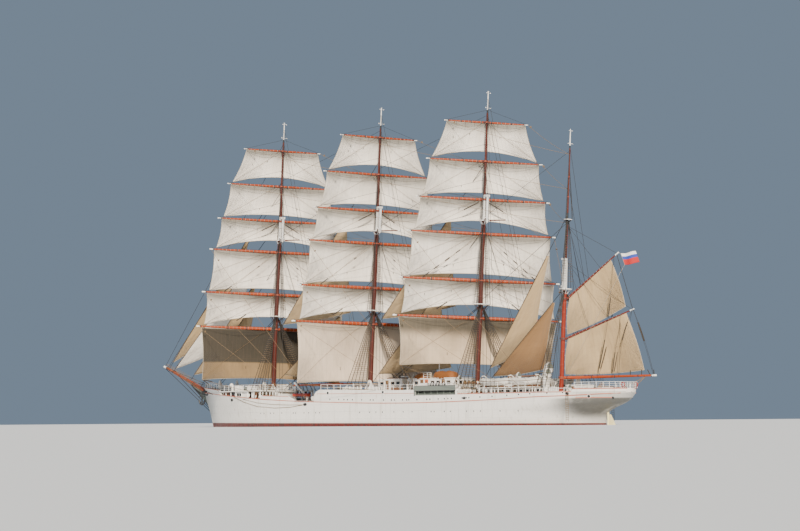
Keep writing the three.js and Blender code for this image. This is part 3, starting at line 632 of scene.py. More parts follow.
def fitting_group():
    """One fitting stands at each point of a mesh, aimed and sized by the point's own attributes"""
    group, given, output = node_group("fittings at points", [("Fitting", "Object"), ("Finish", "Material")])
    stand = chain(group, given, ("InstanceOnPoints",), output)[0].inputs
    fitting = group.nodes.new("GeometryNodeObjectInfo")
    turn = group.nodes.new("FunctionNodeAlignRotationToVector")
    turn.axis = "Z"
    for source, target in ((given["Fitting"], fitting.inputs["Object"]),
                           (fitting.outputs["Geometry"], stand["Instance"]),
                           (stored(group, "aim", "FLOAT_VECTOR"), turn.inputs["Vector"]),
                           (turn.outputs["Rotation"], stand["Rotation"]),
                           (stored(group, "size", "FLOAT"), stand["Scale"])):
        group.links.new(source, target)
    return group


LINE_GROUP = line_group()
FITTING_GROUP = fitting_group()


def grown(name, mesh, group, inputs, sharp=50):
    """Plain mesh that a geometry node group makes from another"""
    source = placed(name + "_source", mesh)
    modifier = source.modifiers.new("grow", "NODES")
    modifier.node_group = group
    for item in group.interface.items_tree:
        if item.in_out == "INPUT" and item.name in inputs:
            modifier[item.identifier] = inputs[item.name]
    return plain_mesh(source, name, sharp)


class Lines:
    """Ropes, wires and rails as lines in ship metres"""

    def __init__(self, stand=None):
        self.stand = stand or Matrix()
        self.points = []
        self.edges = []
        self.radii = []

    def add(self, path, radius=0.03):
        base = len(self.points)
        self.points += [self.stand @ Vector(p) for p in path]
        self.radii += [radius] * len(path)
        self.edges += [(base + i, base + i + 1) for i in range(len(path) - 1)]

    def mirror(self):
        """The same once more on the other side of the ship"""
        base = len(self.points)
        self.points += [mirrored(p) for p in self.points]
        self.edges += [(base + a, base + b) for a, b in self.edges]
        self.radii += self.radii

    def slack(self, start, end, radius=0.03, sag=0.0, steps=8):
        """Line between two points that sags by so much in its middle"""
        start, end = Vector(start), Vector(end)
        self.add([start.lerp(end, i / steps) - up(4 * sag * (i / steps) * (1 - i / steps))
                  for i in range(steps + 1)], radius)

    def loop(self, middle, radius, aim, thick, steps=8):
        """Ring of rope round a point, across the way it is aimed"""
        turn = Vector(aim).to_track_quat("Z", "Y")
        self.add([Vector(middle) + turn @ Vector((radius * cos(t), radius * sin(t), 0))
                  for t in [2 * pi * k / steps for k in range(steps + 1)]], thick)

    def make(self, name, body, finish, slot="rope", sides=5):
        mesh = bpy.data.meshes.new(name)
        mesh.from_pydata([p * MODEL_SCALE for p in self.points], self.edges, [])
        mesh.attributes.new("thickness", "FLOAT", "POINT").data.foreach_set("value", self.radii)
        inputs = {"Sides": sides, "Thickness": MODEL_SCALE, "Finish": finish}
        return settle(grown(name, mesh, LINE_GROUP, inputs), body, [finish])


def fittings(name, spots, form, finish, slot):
    """Copies of a form at spots of (point, aim, size)"""
    pattern = form.make(name + "_pattern", None, [finish], slot)
    mesh = bpy.data.meshes.new(name)
    mesh.from_pydata([Vector(p) * MODEL_SCALE for p, _, _ in spots], [], [])
    aims = [c for _, aim, _ in spots for c in Vector(aim).normalized()]
    mesh.attributes.new("aim", "FLOAT_VECTOR", "POINT").data.foreach_set("vector", aims)
    mesh.attributes.new("size", "FLOAT", "POINT").data.foreach_set("value", [s for _, _, s in spots])
    piece = grown(name, mesh, FITTING_GROUP, {"Fitting": pattern, "Finish": finish}, 40)
    bpy.data.objects.remove(pattern)
    return settle(piece, "ship", [finish])


def turned_fitting(profile, sides, squash=1.0):
    form = Form()
    form.lathe((0, 0, 0), profile, 0, sides, squash)
    return form


def sailcloth(name, surface, counts, size, finish, body, stand, node=None):
    """Sail from a surface of (across, down), its seams laid out in a UV map of ship metres"""
    width, height = size
    across, down = counts
    points = []
    places = []
    for i in range(across + 1):
        for j in range(down + 1):
            points.append(stand @ surface(i / across, j / down) * MODEL_SCALE)
            places.append((i / across * width * MODEL_SCALE, j / down * height * MODEL_SCALE))
    wide = down + 1
    faces = [(k, k + wide, k + wide + 1, k + 1) for i in range(across)
             for k in range(i * wide, i * wide + down)]
    mesh = bpy.data.meshes.new(name)
    mesh.from_pydata(points, [], faces)
    layer = mesh.uv_layers.new(name="panels")
    layer.data.foreach_set("uv", [c for loop in mesh.loops for c in places[loop.vertex_index]])
    for corner, edge in (("left_corner", 0), ("right_corner", width)):
        away = [c for x, y in places for c in (abs(x / MODEL_SCALE - edge), height - y / MODEL_SCALE, 0)]
        mesh.attributes.new(corner, "FLOAT_VECTOR", "POINT").data.foreach_set("vector", away)
    mesh.shade_smooth()
    piece = placed(name, mesh)
    thickness = piece.modifiers.new("cloth thickness", "SOLIDIFY")
    thickness.thickness = 0.002
    thickness.offset = 0
    settle(piece, body, [finish], [node] if node else [])


def row_at(rows, x):
    """Value at x from rows of (x, value), straight between them"""
    xs, values = zip(*rows)
    return float(np.interp(x, xs, values))


def smooth_row_at(rows, x):
    """Value at x on a smooth line through rows of (x, value)"""
    xs, values = np.array(rows, float).T
    slopes = np.gradient(values, xs)
    i = int(np.clip(np.searchsorted(xs, x) - 1, 0, len(xs) - 2))
    span = xs[i + 1] - xs[i]
    t = float(np.clip((x - xs[i]) / span, 0, 1))
    return float((2 * t**3 - 3 * t**2 + 1) * values[i] + (t**3 - 2 * t**2 + t) * span * slopes[i]
                 + (3 * t**2 - 2 * t**3) * values[i + 1] + (t**3 - t**2) * span * slopes[i + 1])


# Hull

STEM_HEAD = -51.55
TAFFRAIL = 51.7
END_BLEND = 20.0
BULWARK = 0.18
STEM = [(-6.7, -43), (-6.0, -45.6), (-4.5, -47.3), (-2.5, -48.3), (0, -48.8), (3.1, -49.8), (5.7, -50.95),
        (7.9, STEM_HEAD)]
STERN = [(1.9, 46.5), (2.3, 47.5), (2.74, 48.25), (3.7, 50.1), (5.2, 51.6), (6.05, TAFFRAIL)]
SHEER = [(-51.55, 6.9), (-45, 6.45), (-38, 6.0), (-29, 5.3), (-18, 4.7), (-10, 4.43), (8, 4.07), (20, 4.2),
         (30, 4.47), (36.6, 4.74), (44, 4.9), (TAFFRAIL, 5.25)]
TOP = [(-51.55, 7.9), (-47, 7.55), (-42.1, 7.2), (-41.95, 6.3), (-28.1, 5.25), (-27.95, 5.95), (-20.5, 5.65),
       (-18.3, 4.8), (-14.1, 4.65), (-13.85, 5.9), (-13.4, 6.4), (-12.5, 6.75), (6.5, 6.35), (20.2, 6.35),
       (20.35, 5.55), (44.1, 5.6), (44.25, 5.95), (TAFFRAIL, 6.05)]
DECK = [(-51.55, 6.93), (-42.25, 6.93), (-42.2, 4.9), (-28, 4.45), (-14.1, 3.95), (-14.05, 6.0),
        (-12.6, 6.72), (6.5, 6.32), (20.3, 6.32), (20.35, 4.95), (44.15, 4.95), (44.2, 5.35),
        (TAFFRAIL, 5.35)]
SIDE_INSET = [(-51.55, BULWARK), (-14.1, BULWARK), (-14.05, 0.03), (20.3, 0.03), (20.35, BULWARK),
              (TAFFRAIL, BULWARK)]
# Levels from the keel up: height, or share of the sheer's height, half breadth, then length and
# fullness of the bow, and length, fullness and roundness of the stern
LEVELS = [
    (-6.7, 0.3, 30, 1.5, 30, 1.5, 1.0),
    (-6.6, 4.6, 48, 1.5, 46, 1.5, 1.0),
    (-6.2, 6.0, 46, 1.55, 44, 1.6, 1.0),
    (-5.2, 6.9, 44, 1.7, 42, 1.7, 1.0),
    (-3.0, 7.3, 40, 1.9, 38, 1.9, 1.0),
    (0.0, 7.35, 34, 2.0, 34, 2.2, 1.0),
    (0.4, 7.35, 31, 2.1, 30, 2.5, 1.2),
    (0.74, 7.35, 28.5, 2.2, 24, 2.8, 1.9),
    (1.0, 7.3, 26.5, 2.3, 21, 2.8, 2.1),
    (None, 7.25, 26, 2.35, 20.5, 2.8, 2.1),
]
SHARES_FROM = 6
DECK_LEVEL = 8


def half_breadth(level, x):
    _, half, bow, bow_power, stern, stern_power, roundness = LEVELS[level]
    ahead = max(0.0, 1 - (x - STEM_HEAD) / bow)
    astern = min(1.0, max(0.0, 1 - (TAFFRAIL - x) / stern))
    return max(0.14, half * (1 - ahead**bow_power) * (1 - astern**stern_power) ** (1 / roundness))


def hull_point(level, x):
    height = LEVELS[level][0]
    if height is None:
        z = row_at(TOP, x)
    elif level >= SHARES_FROM:
        z = height * smooth_row_at(SHEER, x)
    else:
        z = height
    bow_share = max(0.0, 1 - (x - STEM_HEAD) / END_BLEND)
    stern_share = max(0.0, 1 - (TAFFRAIL - x) / END_BLEND)
    shift = (smooth_row_at(STEM, z) - STEM_HEAD) * bow_share
    shift += (smooth_row_at(STERN, z) - TAFFRAIL) * stern_share
    return np.array((x + shift, half_breadth(level, x), z))


def side_line(x, steps=4):
    """Points up the starboard side at one station, from the keel to the top of the plating"""
    marks = np.array([hull_point(level, x) for level in range(len(LEVELS))])
    body = marks[:-1]
    slopes = np.gradient(body, axis=0)
    line = []
    for i in range(len(body) - 1):
        for t in np.arange(steps) / steps:
            line.append((2 * t**3 - 3 * t**2 + 1) * body[i] + (t**3 - 2 * t**2 + t) * slopes[i]
                        + (3 * t**2 - 2 * t**3) * body[i + 1] + (t**3 - t**2) * slopes[i + 1])
    line += [body[-1], (body[-1] + marks[-1]) / 2, marks[-1]]
    return np.maximum(np.array(line), (-99, 0.1, -99))


SIDE_STATIONS = np.concatenate((np.arange(STEM_HEAD, -31, 0.4), np.arange(-31, 42, 1.0),
                                np.arange(42, TAFFRAIL, 0.3), (TAFFRAIL,)))
SIDE_LINES = np.array([side_line(x) for x in SIDE_STATIONS])


def side_at(x, z):
    """Starboard point of the plating at that place and height"""
    station = x
    for _ in range(4):
        i = int(np.clip(np.searchsorted(SIDE_STATIONS, station) - 1, 0, len(SIDE_STATIONS) - 2))
        share = (station - SIDE_STATIONS[i]) / (SIDE_STATIONS[i + 1] - SIDE_STATIONS[i])
        line = SIDE_LINES[i] * (1 - share) + SIDE_LINES[i + 1] * share
        station += x - float(np.interp(z, line[:, 2], line[:, 0]))
        station = min(max(station, STEM_HEAD), TAFFRAIL)
    return Vector((x, float(np.interp(z, line[:, 2], line[:, 1])), z))


def outward_at(x, z):
    """Direction straight out of the starboard plating"""
    spot = side_at(x, z)
    return (side_at(x + 0.3, z) - spot).cross(side_at(x, z + 0.2) - spot).normalized() * -1

def deck_edge(x):
    return half_breadth(DECK_LEVEL, x)


def side_top(x):
    return row_at(TOP, x)


def off_plating(x, z, out):
    """Starboard point so far off the plating"""
    return side_at(x, z) + outward_at(x, z) * out


def hull_stations():
    marks = [x for rows in (TOP, DECK, SIDE_INSET) for x, _ in rows]
    ends = [STEM_HEAD + 20 * k / 40 for k in range(41)]
    ends += [TAFFRAIL - 12 * (k / 30) ** 1.5 for k in range(31)]
    return sorted(set(round(x, 3) for x in [*np.arange(-31, 42, 1.0), *marks, *ends]))


def hull():
    """Plating, bulwarks and decks as one closed shell, cut out for galleries, screw and stem socket"""
    form = Form()
    rings = []
    for x in hull_stations():
        outer = side_line(x)
        top = outer[-1]
        deck = row_at(DECK, x)
        inset = min(row_at(SIDE_INSET, x), 0.4 * top[1])
        inner = np.array((top[0], top[1] - inset, top[2]))
        at_deck = min(deck_edge(x), float(np.interp(deck, outer[:, 2], outer[:, 1])))
        edge = np.array((top[0], max(0.04, at_deck - inset), min(deck, top[2] - 0.02)))
        middle = [edge * (1, share, 1) + (0, 0, 0.1 * (1 - share**2)) for share in (0.75, 0.5, 0.25, 0.02)]
        side = [*outer, inner, edge, *middle]
        rings.append([mirrored(p) for p in side] + [Vector(p) for p in reversed(side)])
    form.loft(rings, ends=False)
    count = len(rings[0])
    end_faces = [(k, k + 1, count - 2 - k, count - 1 - k) for k in range(count // 2 - 1)]
    last = (len(rings) - 1) * count
    form.faces += end_faces + [tuple(last + i for i in reversed(face)) for face in end_faces]
    form.paints += [0] * (2 * len(end_faces))
    piece = form.make("hull_shell", None, [HULL_WHITE], "hull_paint")
    cutter = Form()
    cutter.box(10.9, 20.0, 5.9, 9, 5.35, 6.1)
    for x, z in ((-37.5, 5.25), (-16.2, 4.1)):
        cutter.block(x, 7.2, 0.4, 1, z - 0.16, z + 0.16)
    cutter.mirror()
    cutter.box(43.3, 45.8, -3, 3, -6.0, -1.9)
    cutter.tube([(-49.0, 0, 6.235), BOWSPRIT_END], 0.47, 16)
    tool = cutter.make("hull_cutter", None, [HULL_WHITE], "hull_paint")
    cut = piece.modifiers.new("cut", "BOOLEAN")
    cut.object = tool
    cut.operation = "DIFFERENCE"
    cut.solver = "EXACT"
    shell = plain_mesh(piece, "hull_shell", 28)
    bpy.data.objects.remove(tool)
    paint_hull(shell.data)
    settle(shell, "ship", [HULL_WHITE, WALL_WHITE, DECK_TEAK, GREY_PAINT], ["hull"])


def paint_hull(mesh):
    """Decks are planked, what faces inward is wall paint, and the galleries get grey paint inside as painted
    shade in the recess
    """
    for face in mesh.polygons:
        x, y, z = face.center / MODEL_SCALE
        normal = face.normal
        face.material_index = 0
        if z < 3.5:
            continue
        if normal.z > 0.7 and abs(y) < deck_edge(x) - 0.05:
            face.material_index = 2
        elif normal.y * y < -1e-6 and abs(normal.z) < 0.5 or abs(normal.x) > 0.9 and -50 < x < 50:
            face.material_index = 1
        # Painted shade: the recess of the galleries is painted grey
        if 10.85 < x < 20.05 and 5.3 < z < 6.15 and abs(y) < 7.2:
            face.material_index = 3


def hull_trim():
    """Sheer line, rails and cap lines along the side"""
    bands = Lines()
    # From x, to x, height at x, thickness, how far off the plating, spacing of points
    for start, end, height, radius, out, step in (
            (-50.6, 51.0, lambda x: smooth_row_at(SHEER, x), 0.06, 0.02, 1.2),
            (-13.2, 10.6, lambda x: 5.86 - 0.012 * x, 0.035, 0.02, 1.2),
            (20.5, 44.0, lambda x: 5.5, 0.05, 0.02, 1.2),
            (44.4, TAFFRAIL - 0.15, lambda x: 5.98, 0.06, 0.05, 0.4),
            (44.6, 49.8, lambda x: 4.5, 0.05, 0.02, 0.6),
            (-27.6, -20.6, lambda x: side_top(x) - 0.05, 0.04, 0.02, 1.2),
            (-50.9, -42.3, lambda x: side_top(x) - 0.04, 0.05, 0.02, 1.2),
            (-41.8, -28.2, lambda x: side_top(x) - 0.04, 0.04, 0.02, 1.2)):
        count = max(2, int((end - start) / step))
        marks = [start + (end - start) * k / count for k in range(count + 1)]
        bands.add([off_plating(x, height(x), out) for x in marks], radius)
    bands.mirror()
    bands.make("orange_sheer_lines", "ship", TRIM_ORANGE, "hull_paint", 8)


hull()
hull_trim()


# Masts

def stand_of(mast, turned=False):
    """A mast's own upright frame, or the frame that its yards or boom are swung in"""
    x, _, _, swing = MASTS[mast]
    stand = Matrix.Translation((x, 0, MAST_DATUM)) @ Matrix.Rotation(RAKE, 4, "Y")
    return stand @ Matrix.Rotation(radians(swing), 4, "Z") if turned else stand


SWUNG = {mast: stand_of(mast, turned=True) for mast in MASTS}


def up_mast(z):
    return (z - MAST_DATUM) / cos(RAKE)


def mast_radius(mast, z):
    return row_at(SQUARE_RADII if mast in SQUARE_RIGGED else JIGGER_RADII, z)


def on_mast(mast, z, aft=0.0, side=0.0):
    """Point beside a mast at a height, in the ship's frame"""
    return stand_of(mast) @ Vector((aft, side, up_mast(z)))


def pole(form, mast, low, high, paint, extra=0.0, steps=6):
    heights = [low + (high - low) * k / steps for k in range(steps + 1)]
    form.lathe((0, 0, 0), [(mast_radius(mast, z) + extra, up_mast(z)) for z in heights], paint, 28)


def platform(form, z, ahead, aft, half, thick, paint, rim):
    """Top or crosstrees: an oval of planks on brackets, with a rounded rim"""
    middle, long = (aft - ahead) / 2, (aft + ahead) / 2
    turns = [2 * pi * k / 28 for k in range(28)]
    h = up_mast(z)
    form.loft([[(middle + long * cos(t), half * sin(t), h + side * thick / 2) for t in turns]
               for side in (-1, 1)], paint)
    edge = [(middle + long * cos(t), half * sin(t), h) for t in [*turns, turns[0]]]
    form.tube(edge, thick * 0.62, 8, rim)
    for angle in (35, 90, 145, 215, 270, 325):
        t = radians(angle)
        reach = (middle + long * cos(t) * 0.9, half * sin(t) * 0.9)
        form.tube([(reach[0], reach[1], h - thick / 2), (0.25 * cos(t), 0.25 * sin(t), h - half * 0.75)],
                  0.05, 6, paint)


def spare_spar(form, low, high, away, radius):
    """Heel of the upper mast beside the head of the lower one, with cap and chock"""
    side = 1 if away > 0 else -1
    form.tube([(away, 0, up_mast(low)), (away, 0, up_mast(high))], [radius, radius * 0.9], 20, 1)
    near, far = sorted((-0.1 * side, away + 0.24 * side))
    for z in (high - 0.3, low + 0.5):
        form.box(near, far, -0.28, 0.28, up_mast(z), up_mast(z + 0.35), 1)
    for z in np.arange(low + 1.1, high - 0.6, 0.85):
        form.ring(away, up_mast(z), radius * 0.8, radius + 0.03, 0.05, 1, 16)


def square_mast(mast):
    form = Form(stand_of(mast))
    foot, truck = MASTS[mast][1:3]
    start = foot + 0.035
    for low, high, paint in ((start, 36.15, 0), (36.15, 40.5, 1), (40.5, 55.05, 0), (55.05, 55.6, 2),
                             (55.6, truck, 1)):
        pole(form, mast, low, high, paint)
    for z in (9.5, 12.5, 15.5, 19.9, 22.6, 26.9, 29.4, 31.8, 35.2, 41.8, 44.6, 48.2, 50.6):
        pole(form, mast, z, z + 0.14, 0, 0.03, 1)
    form.lathe((0, 0, up_mast(start)), [(0.78, 0), (0.76, 0.1), (0.55, 0.28), (0.5, 0.6), (0.53, 0.7)],
               1, 28)
    platform(form, 21.3, 0.75, 1.5, 1.75, 0.14, 0, 1)
    platform(form, 36.0, 0.6, 1.0, 1.0, 0.12, 1, 1)
    spare_spar(form, 35.7, 40.5, 0.78, 0.23)
    for side in (-1, 1):
        arm = [(0.2 + 3.1 * k / 6, side * 3.3 * k / 6, up_mast(36.02 + 0.3 * k / 6)) for k in range(7)]
        form.tube(arm[:6], [0.14, 0.13, 0.12, 0.11, 0.1, 0.1], 10, 0)
        form.tube(arm[5:], [0.105, 0.09], 10, 1)
    for z, reach in ((55.9, 0.7), (58.55, 0.5)):
        form.tube([(0.12, -reach, up_mast(z)), (0.12, reach, up_mast(z))], 0.026, 8, 1)
        for side in (-1, 1):
            form.lathe((0.12, side * reach, up_mast(z) - 0.06),
                       [(0.03, 0), (0.055, 0.03), (0.055, 0.12), (0.02, 0.16)], 1, 10)
    form.lathe((0, 0, up_mast(truck) - 0.12), [(0.05, 0), (0.14, 0.02), (0.15, 0.08), (0.04, 0.12)], 1, 16)
    form.make(mast + "_mast_pole", "ship", [MAST_ORANGE, SPAR_WHITE, BLACK_IRON], "spar_paint",
              [mast + "_mast"])


def jigger_mast():
    mast = "jigger"
    form = Form(stand_of(mast))
    start = MASTS[mast][1] + 0.035
    for low, high, paint in ((start, 22.8, 0), (22.8, 28.2, 1), (28.2, 33.9, 3), (33.9, 35.9, 2),
                             (35.9, 46.9, 3), (46.9, 47.4, 2), (47.4, 50.2, 1)):
        pole(form, mast, low, high, paint)
    for z in (10.2, 12.4, 16.4, 19.0, 20.6, 30.0, 32.0, 38.6, 42.0):
        pole(form, mast, z, z + 0.13, 0, 0.025, 1)
    form.lathe((0, 0, up_mast(start)), [(0.7, 0), (0.68, 0.1), (0.5, 0.28), (0.45, 0.6), (0.48, 0.7)], 1, 28)
    platform(form, 23.0, 0.7, 1.0, 1.2, 0.14, 1, 1)
    platform(form, 34.8, 0.4, 0.7, 0.8, 0.1, 2, 1)
    spare_spar(form, 22.8, 28.2, -0.48, 0.2)
    for z, reach in ((47.7, 0.7), (49.9, 0.5)):
        form.tube([(0.1, -reach, up_mast(z)), (0.1, reach, up_mast(z))], 0.04, 8, 1)
    form.make("jigger_mast_pole", "ship", [JIGGER_ORANGE, SPAR_WHITE, BLACK_IRON, MAST_ORANGE], "spar_paint",
              ["jigger_mast"])


# Yards

def ring_bore(mast, z):
    return (mast_radius(mast, z - 0.2) + 0.006) / cos(pi / 12)


def yard(mast, level):
    """Tapered yard with white arms, iron bands, truss and the ring that turns on the mast"""
    z, half, ahead, radius = YARDS[level][:4]
    h = up_mast(z)
    form = Form(SWUNG[mast])
    taper = [(0, 0.46), (0.05, 0.52), (0.2, 0.78), (0.375, 1), (0.5, 1.0), (0.625, 1), (0.8, 0.78),
             (0.95, 0.52), (1, 0.46)]
    tip = 0.75 / (2 * half)

    def section(low, high, paint, extra=0.0):
        shares = [low, *[s for s, _ in taper if low < s < high], high]
        form.tube([(-ahead, half * (2 * s - 1), h) for s in shares],
                  [radius * row_at(taper, s) + extra for s in shares], 20, paint)

    section(tip, 1 - tip, 0)
    section(0, tip, 1)
    section(1 - tip, 1, 1)
    for share in (tip, 0.2, 0.32, 0.44, 0.56, 0.68, 0.8, 1 - tip):
        section(share - 0.05 / half, share + 0.05 / half, 2, 0.02)
    for side in (-1, 1):
        form.lathe((-ahead, side * (half - 0.55), h + radius * 0.5), [(0.1, 0), (0.12, 0.04), (0.05, 0.16)],
                   2, 10)
        form.tube([(-ahead + 0.1, side * 0.55, h), (-ring_bore(mast, z) - 0.1, side * 0.16, h)], 0.085, 8, 2)
    bore = ring_bore(mast, z)
    form.tube([(-ahead, 0, h), (-(bore + ahead) / 2, 0, h), (-bore - 0.04, 0, h)], [0.17, 0.15, 0.18], 12, 0)
    form.ring(0, h, bore, bore + 0.14, 0.15)
    for lift in (-0.13, 0.13):
        form.ring(0, h + lift, bore + 0.1, bore + 0.17, 0.03, 2)
    node = f"{mast}_{level}_yard"
    form.make(node + "_spar", mast + "_yards", [YARD_ORANGE, SPAR_WHITE, BLACK_IRON], "spar_paint", [node])


def square_surface(mast, level):
    """Surface of a square sail in its yard's own frame, and its width and depth"""
    names = list(YARDS)
    z, yard_half, ahead, radius, drop, arch, belly = YARDS[level]
    rank = names.index(level)
    if rank == 0:
        drop = COURSE_DROP[mast]
        foot_half, clew_ahead = yard_half * 0.89, ahead + 0.5
    else:
        below = YARDS[names[rank - 1]]
        foot_half, clew_ahead = below[1] * 0.9, below[2] + 0.1
    head_half = yard_half * 0.93
    head = up_mast(z) - radius * cos(pi / 8) - 0.003
    seed = Vector((3.1 * rank, 7.7 * SQUARE_RIGGED.index(mast), 0.4))

    def surface(u, v):
        s = 2 * u - 1
        half = head_half + (foot_half - head_half) * v - LEECH_HOLLOW * sin(pi * v)
        fill = (1 - s * s) * (HEAD_FILL + sin(pi * v) * 0.7 + 0.5 * v)
        folds = 0.0
        for corner in (-1, 1):
            away = hypot((s - corner) * half, (1 - v) * drop)
            turn = atan2((1 - v) * drop, abs(s - corner) * half + 0.01)
            folds += 0.09 * sin(11 * turn + rank) * exp(-away / (0.33 * drop)) * min(1, away)
        folds += 0.05 * sin(u * pi * 14 + 1.3 * rank) * exp(-4 * v) * sin(pi * min(1, 3 * v))
        folds += 0.10 * noise.noise(Vector((s * 2.2, v * 1.1, 0)) + seed) * sin(pi * v)
        x = -ahead + (ahead - clew_ahead) * v - belly * fill + folds * (1 - s**8)
        return Vector((x, s * half, head - drop * v + arch * (1 - s * s) * v * v))

    return surface, (2 * max(head_half, foot_half), drop)


def edge_of(surface, steps=24, out=0.0):
    """Points round a sail's four edges"""
    marks = [k / steps for k in range(steps)]
    path = [(m, 0.0) for m in marks] + [(1.0, m) for m in marks] + [(1 - m, 1.0) for m in marks]
    path += [(0.0, 1 - m) for m in marks] + [(0.0, 0.0)]
    return [surface(u, v) + Vector((out, 0, 0)) for u, v in path]


def clew_line(lines, surface, side, out, down, head):
    """Thin line over a sail's after face from its leech or foot up to the middle of the yard"""
    path = []
    for k in range(13):
        share = k / 12
        u = out + (head - out) * share
        point = surface(u if side < 0 else 1 - u, max(0.01, down * (1 - share)))
        path.append(point + Vector((0.13, 0, 0)))
    lines.add(path, 0.018)


COURSE_FINISHES = {"fore": SHADOWED_FORE_CANVAS, "main": COURSE_CANVAS, "mizzen": SHADED_CANVAS}


def square_sails(mast):
    """Six sails of a mast with their bolt ropes, buntlines, robands and footropes"""
    stand = SWUNG[mast]
    body = mast + "_yards"
    pale = Lines(stand)
    fine = Lines(stand)
    dark = Lines(stand)
    for level, (z, half, ahead, radius, *_) in YARDS.items():
        surface, size = square_surface(mast, level)
        name = f"{mast}_{level}_sail"
        finish = COURSE_FINISHES[mast] if level == "course" else SQUARE_CANVAS
        sailcloth(name + "_cloth", surface, (44, 26), size, finish, body,
                  stand, name)
        pale.add(edge_of(surface), 0.035)
        for u in (0.14, 0.32, 0.5, 0.68, 0.86):
            pale.add([surface(u, v / 12) + Vector((-0.06, 0, 0)) for v in range(13)], 0.02)
        h = up_mast(z)
        for side in (-1, 1):
            clew_line(fine, surface, side, 0.0, 1.0, 0.44)
            if level in ("lower_topsail", "upper_topsail"):
                clew_line(fine, surface, side, 0.0, 0.55, 0.4)
                clew_line(fine, surface, side, 0.16, 1.0, 0.47)
        for k in range(int(half * 0.93 / 0.75) * 2 + 1):
            y = -half * 0.93 + 0.75 * k + 0.1
            thick = radius * row_at([(0, 1), (0.4, 1), (1, 0.47)], abs(y) / half) + 0.02
            pale.loop((-ahead, y, h), thick, (0, 1, 0), 0.02, 10)
        top = radius * 0.9
        dark.add([(-ahead, half * s, h + row_at([(0, 1.12), (0.4, 1.12), (1, 0.62)], abs(s)) * radius)
                  for s in np.linspace(-0.96, 0.96, 15)], 0.022)
        for side in (-1, 1):
            hang = [(-ahead + 0.28, side * half * s, h - top * 0.4 - 0.85 * sin(pi * min(1, q)) ** 0.6)
                    for s, q in zip(np.linspace(0.06, 0.93, 13), np.linspace(0.0, 1.0, 13))]
            dark.add(hang, 0.022)
            for k in (3, 6, 9):
                x, y, low = hang[k]
                dark.add([(-ahead + 0.12, y, h + 0.02), (x, y, low)], 0.016)
            dark.add([(-ahead, side * half * 0.97, h + 0.05),
                      (0, side * 0.2, up_mast(z + half * 0.3) - 0.2)], 0.026)
    pale.make(mast + "_bolt_ropes", body, PALE_ROPE)
    fine.make(mast + "_clew_lines", body, HEMP, sides=4)
    dark.make(mast + "_footropes_and_lifts", body, WIRE)


# Sails on stays

def stay_surface(name):
    low, high, tack_share, head_share, clew, belly = STAYSAILS[name]
    low, high = Vector((low[0], 0, low[1])), Vector((high[0], 0, high[1]))
    tack, head, clew = low.lerp(high, tack_share), low.lerp(high, head_share), Vector(clew)
    seed = Vector((len(name) * 1.7, tack.x * 0.37, 2.0))

    def surface(u, v):
        point = head.lerp(tack, v).lerp(head.lerp(clew, v), u)
        point.x += HEAD_WIDTH * u * (1 - v) - LEECH_HOLLOW * u * sin(pi * v)
        point.y += belly * sin(pi * u) * sin(pi * (0.2 + 0.65 * v)) * (0.3 + 0.7 * v)
        point.z -= 0.25 * sin(pi * u) * v**6
        crease = 0.05 * sin(22 * atan2(1.02 - v, 1.04 - u)) * exp(-3 * (1 - u)) * sin(pi * v)
        crease += 0.07 * noise.noise(Vector((u * 2, v * 3, 0)) + seed) * sin(pi * u)
        point.y += crease
        return point

    luff = head - tack
    width = (clew - tack).cross(luff).length / luff.length
    return surface, (width, luff.length), (tack, head, clew)


def staysails():
    ropes = Lines()
    wires = Lines()
    for name in STAYSAILS:
        surface, size, (tack, head, clew) = stay_surface(name)
        finish = {"outer_jib": SQUARE_CANVAS, "jigger_staysail": BROWN_CANVAS}.get(name, TAN_CANVAS)
        sailcloth(name + "_cloth", surface, (26, 36), size, finish, "ship",
                  Matrix(), name)
        ropes.add([surface(u, v) for u, v in
                   [(1, k / 24) for k in range(25)] + [(1 - k / 20, 1) for k in range(21)]], 0.03)
        luff = (head - tack).length
        way = (head - tack).normalized()
        for k in range(int(luff / 0.75)):
            wires.loop(tack + way * (0.75 * k + 0.2), 0.085, way, 0.018, 8)
        ropes.slack(clew, sheet_block(name, clew), 0.03, 0.12)
    ropes.make("staysail_edges_and_sheets", "ship", PALE_ROPE)
    wires.make("staysail_hanks", "ship", WIRE, "dark_fitting", sides=4)


def sheet_block(name, clew):
    """Where a staysail's sheet is made fast on deck"""
    x = clew.x + (4.0 if "jib" in name or "fore" in name else 2.5)
    if x < -28.5:
        return Vector((x, 4.2, 6.95))
    return Vector((x, 5.0, 4.9 if -28 < x < -14 or x > 20.4 else 6.5))


def stay_lines():
    """The stays that carry sails, each run on up to its mast"""
    for name, (low, high, *_) in STAYSAILS.items():
        line = Lines()
        low, high = Vector((low[0], 0, low[1])), Vector((high[0], 0, high[1]))
        mast = next(m for m, x in (("fore", -26), ("main", 0), ("mizzen", 25), ("jigger", 58)) if high.x < x)
        slope = (high - low) / (high.x - low.x)
        lean = tan(RAKE)
        x = (MASTS[mast][0] + (low.z - MAST_DATUM - low.x * slope.z) * lean) / (1 - slope.z * lean)
        line.add([low, low + slope * (x - low.x)], 0.05)
        line.make(name + "_stay", "ship", WIRE, sides=8)


# Spanker

def from_mast(aft, z):
    lean = aft * sin(RAKE) * cos(radians(MASTS["jigger"][3]))
    return Vector((aft * cos(RAKE), 0, up_mast(z) + lean))


def spar_ends(name):
    z, end, thick, _ = SPANKER_SPARS[name]
    outer = from_mast(*end)
    inner = Vector((0, 0, up_mast(z)))
    rise = atan2(outer.z - inner.z, outer.x)
    inner.x = ring_bore("jigger", z) + 0.03 + thick * sin(rise)
    return inner, outer, rise


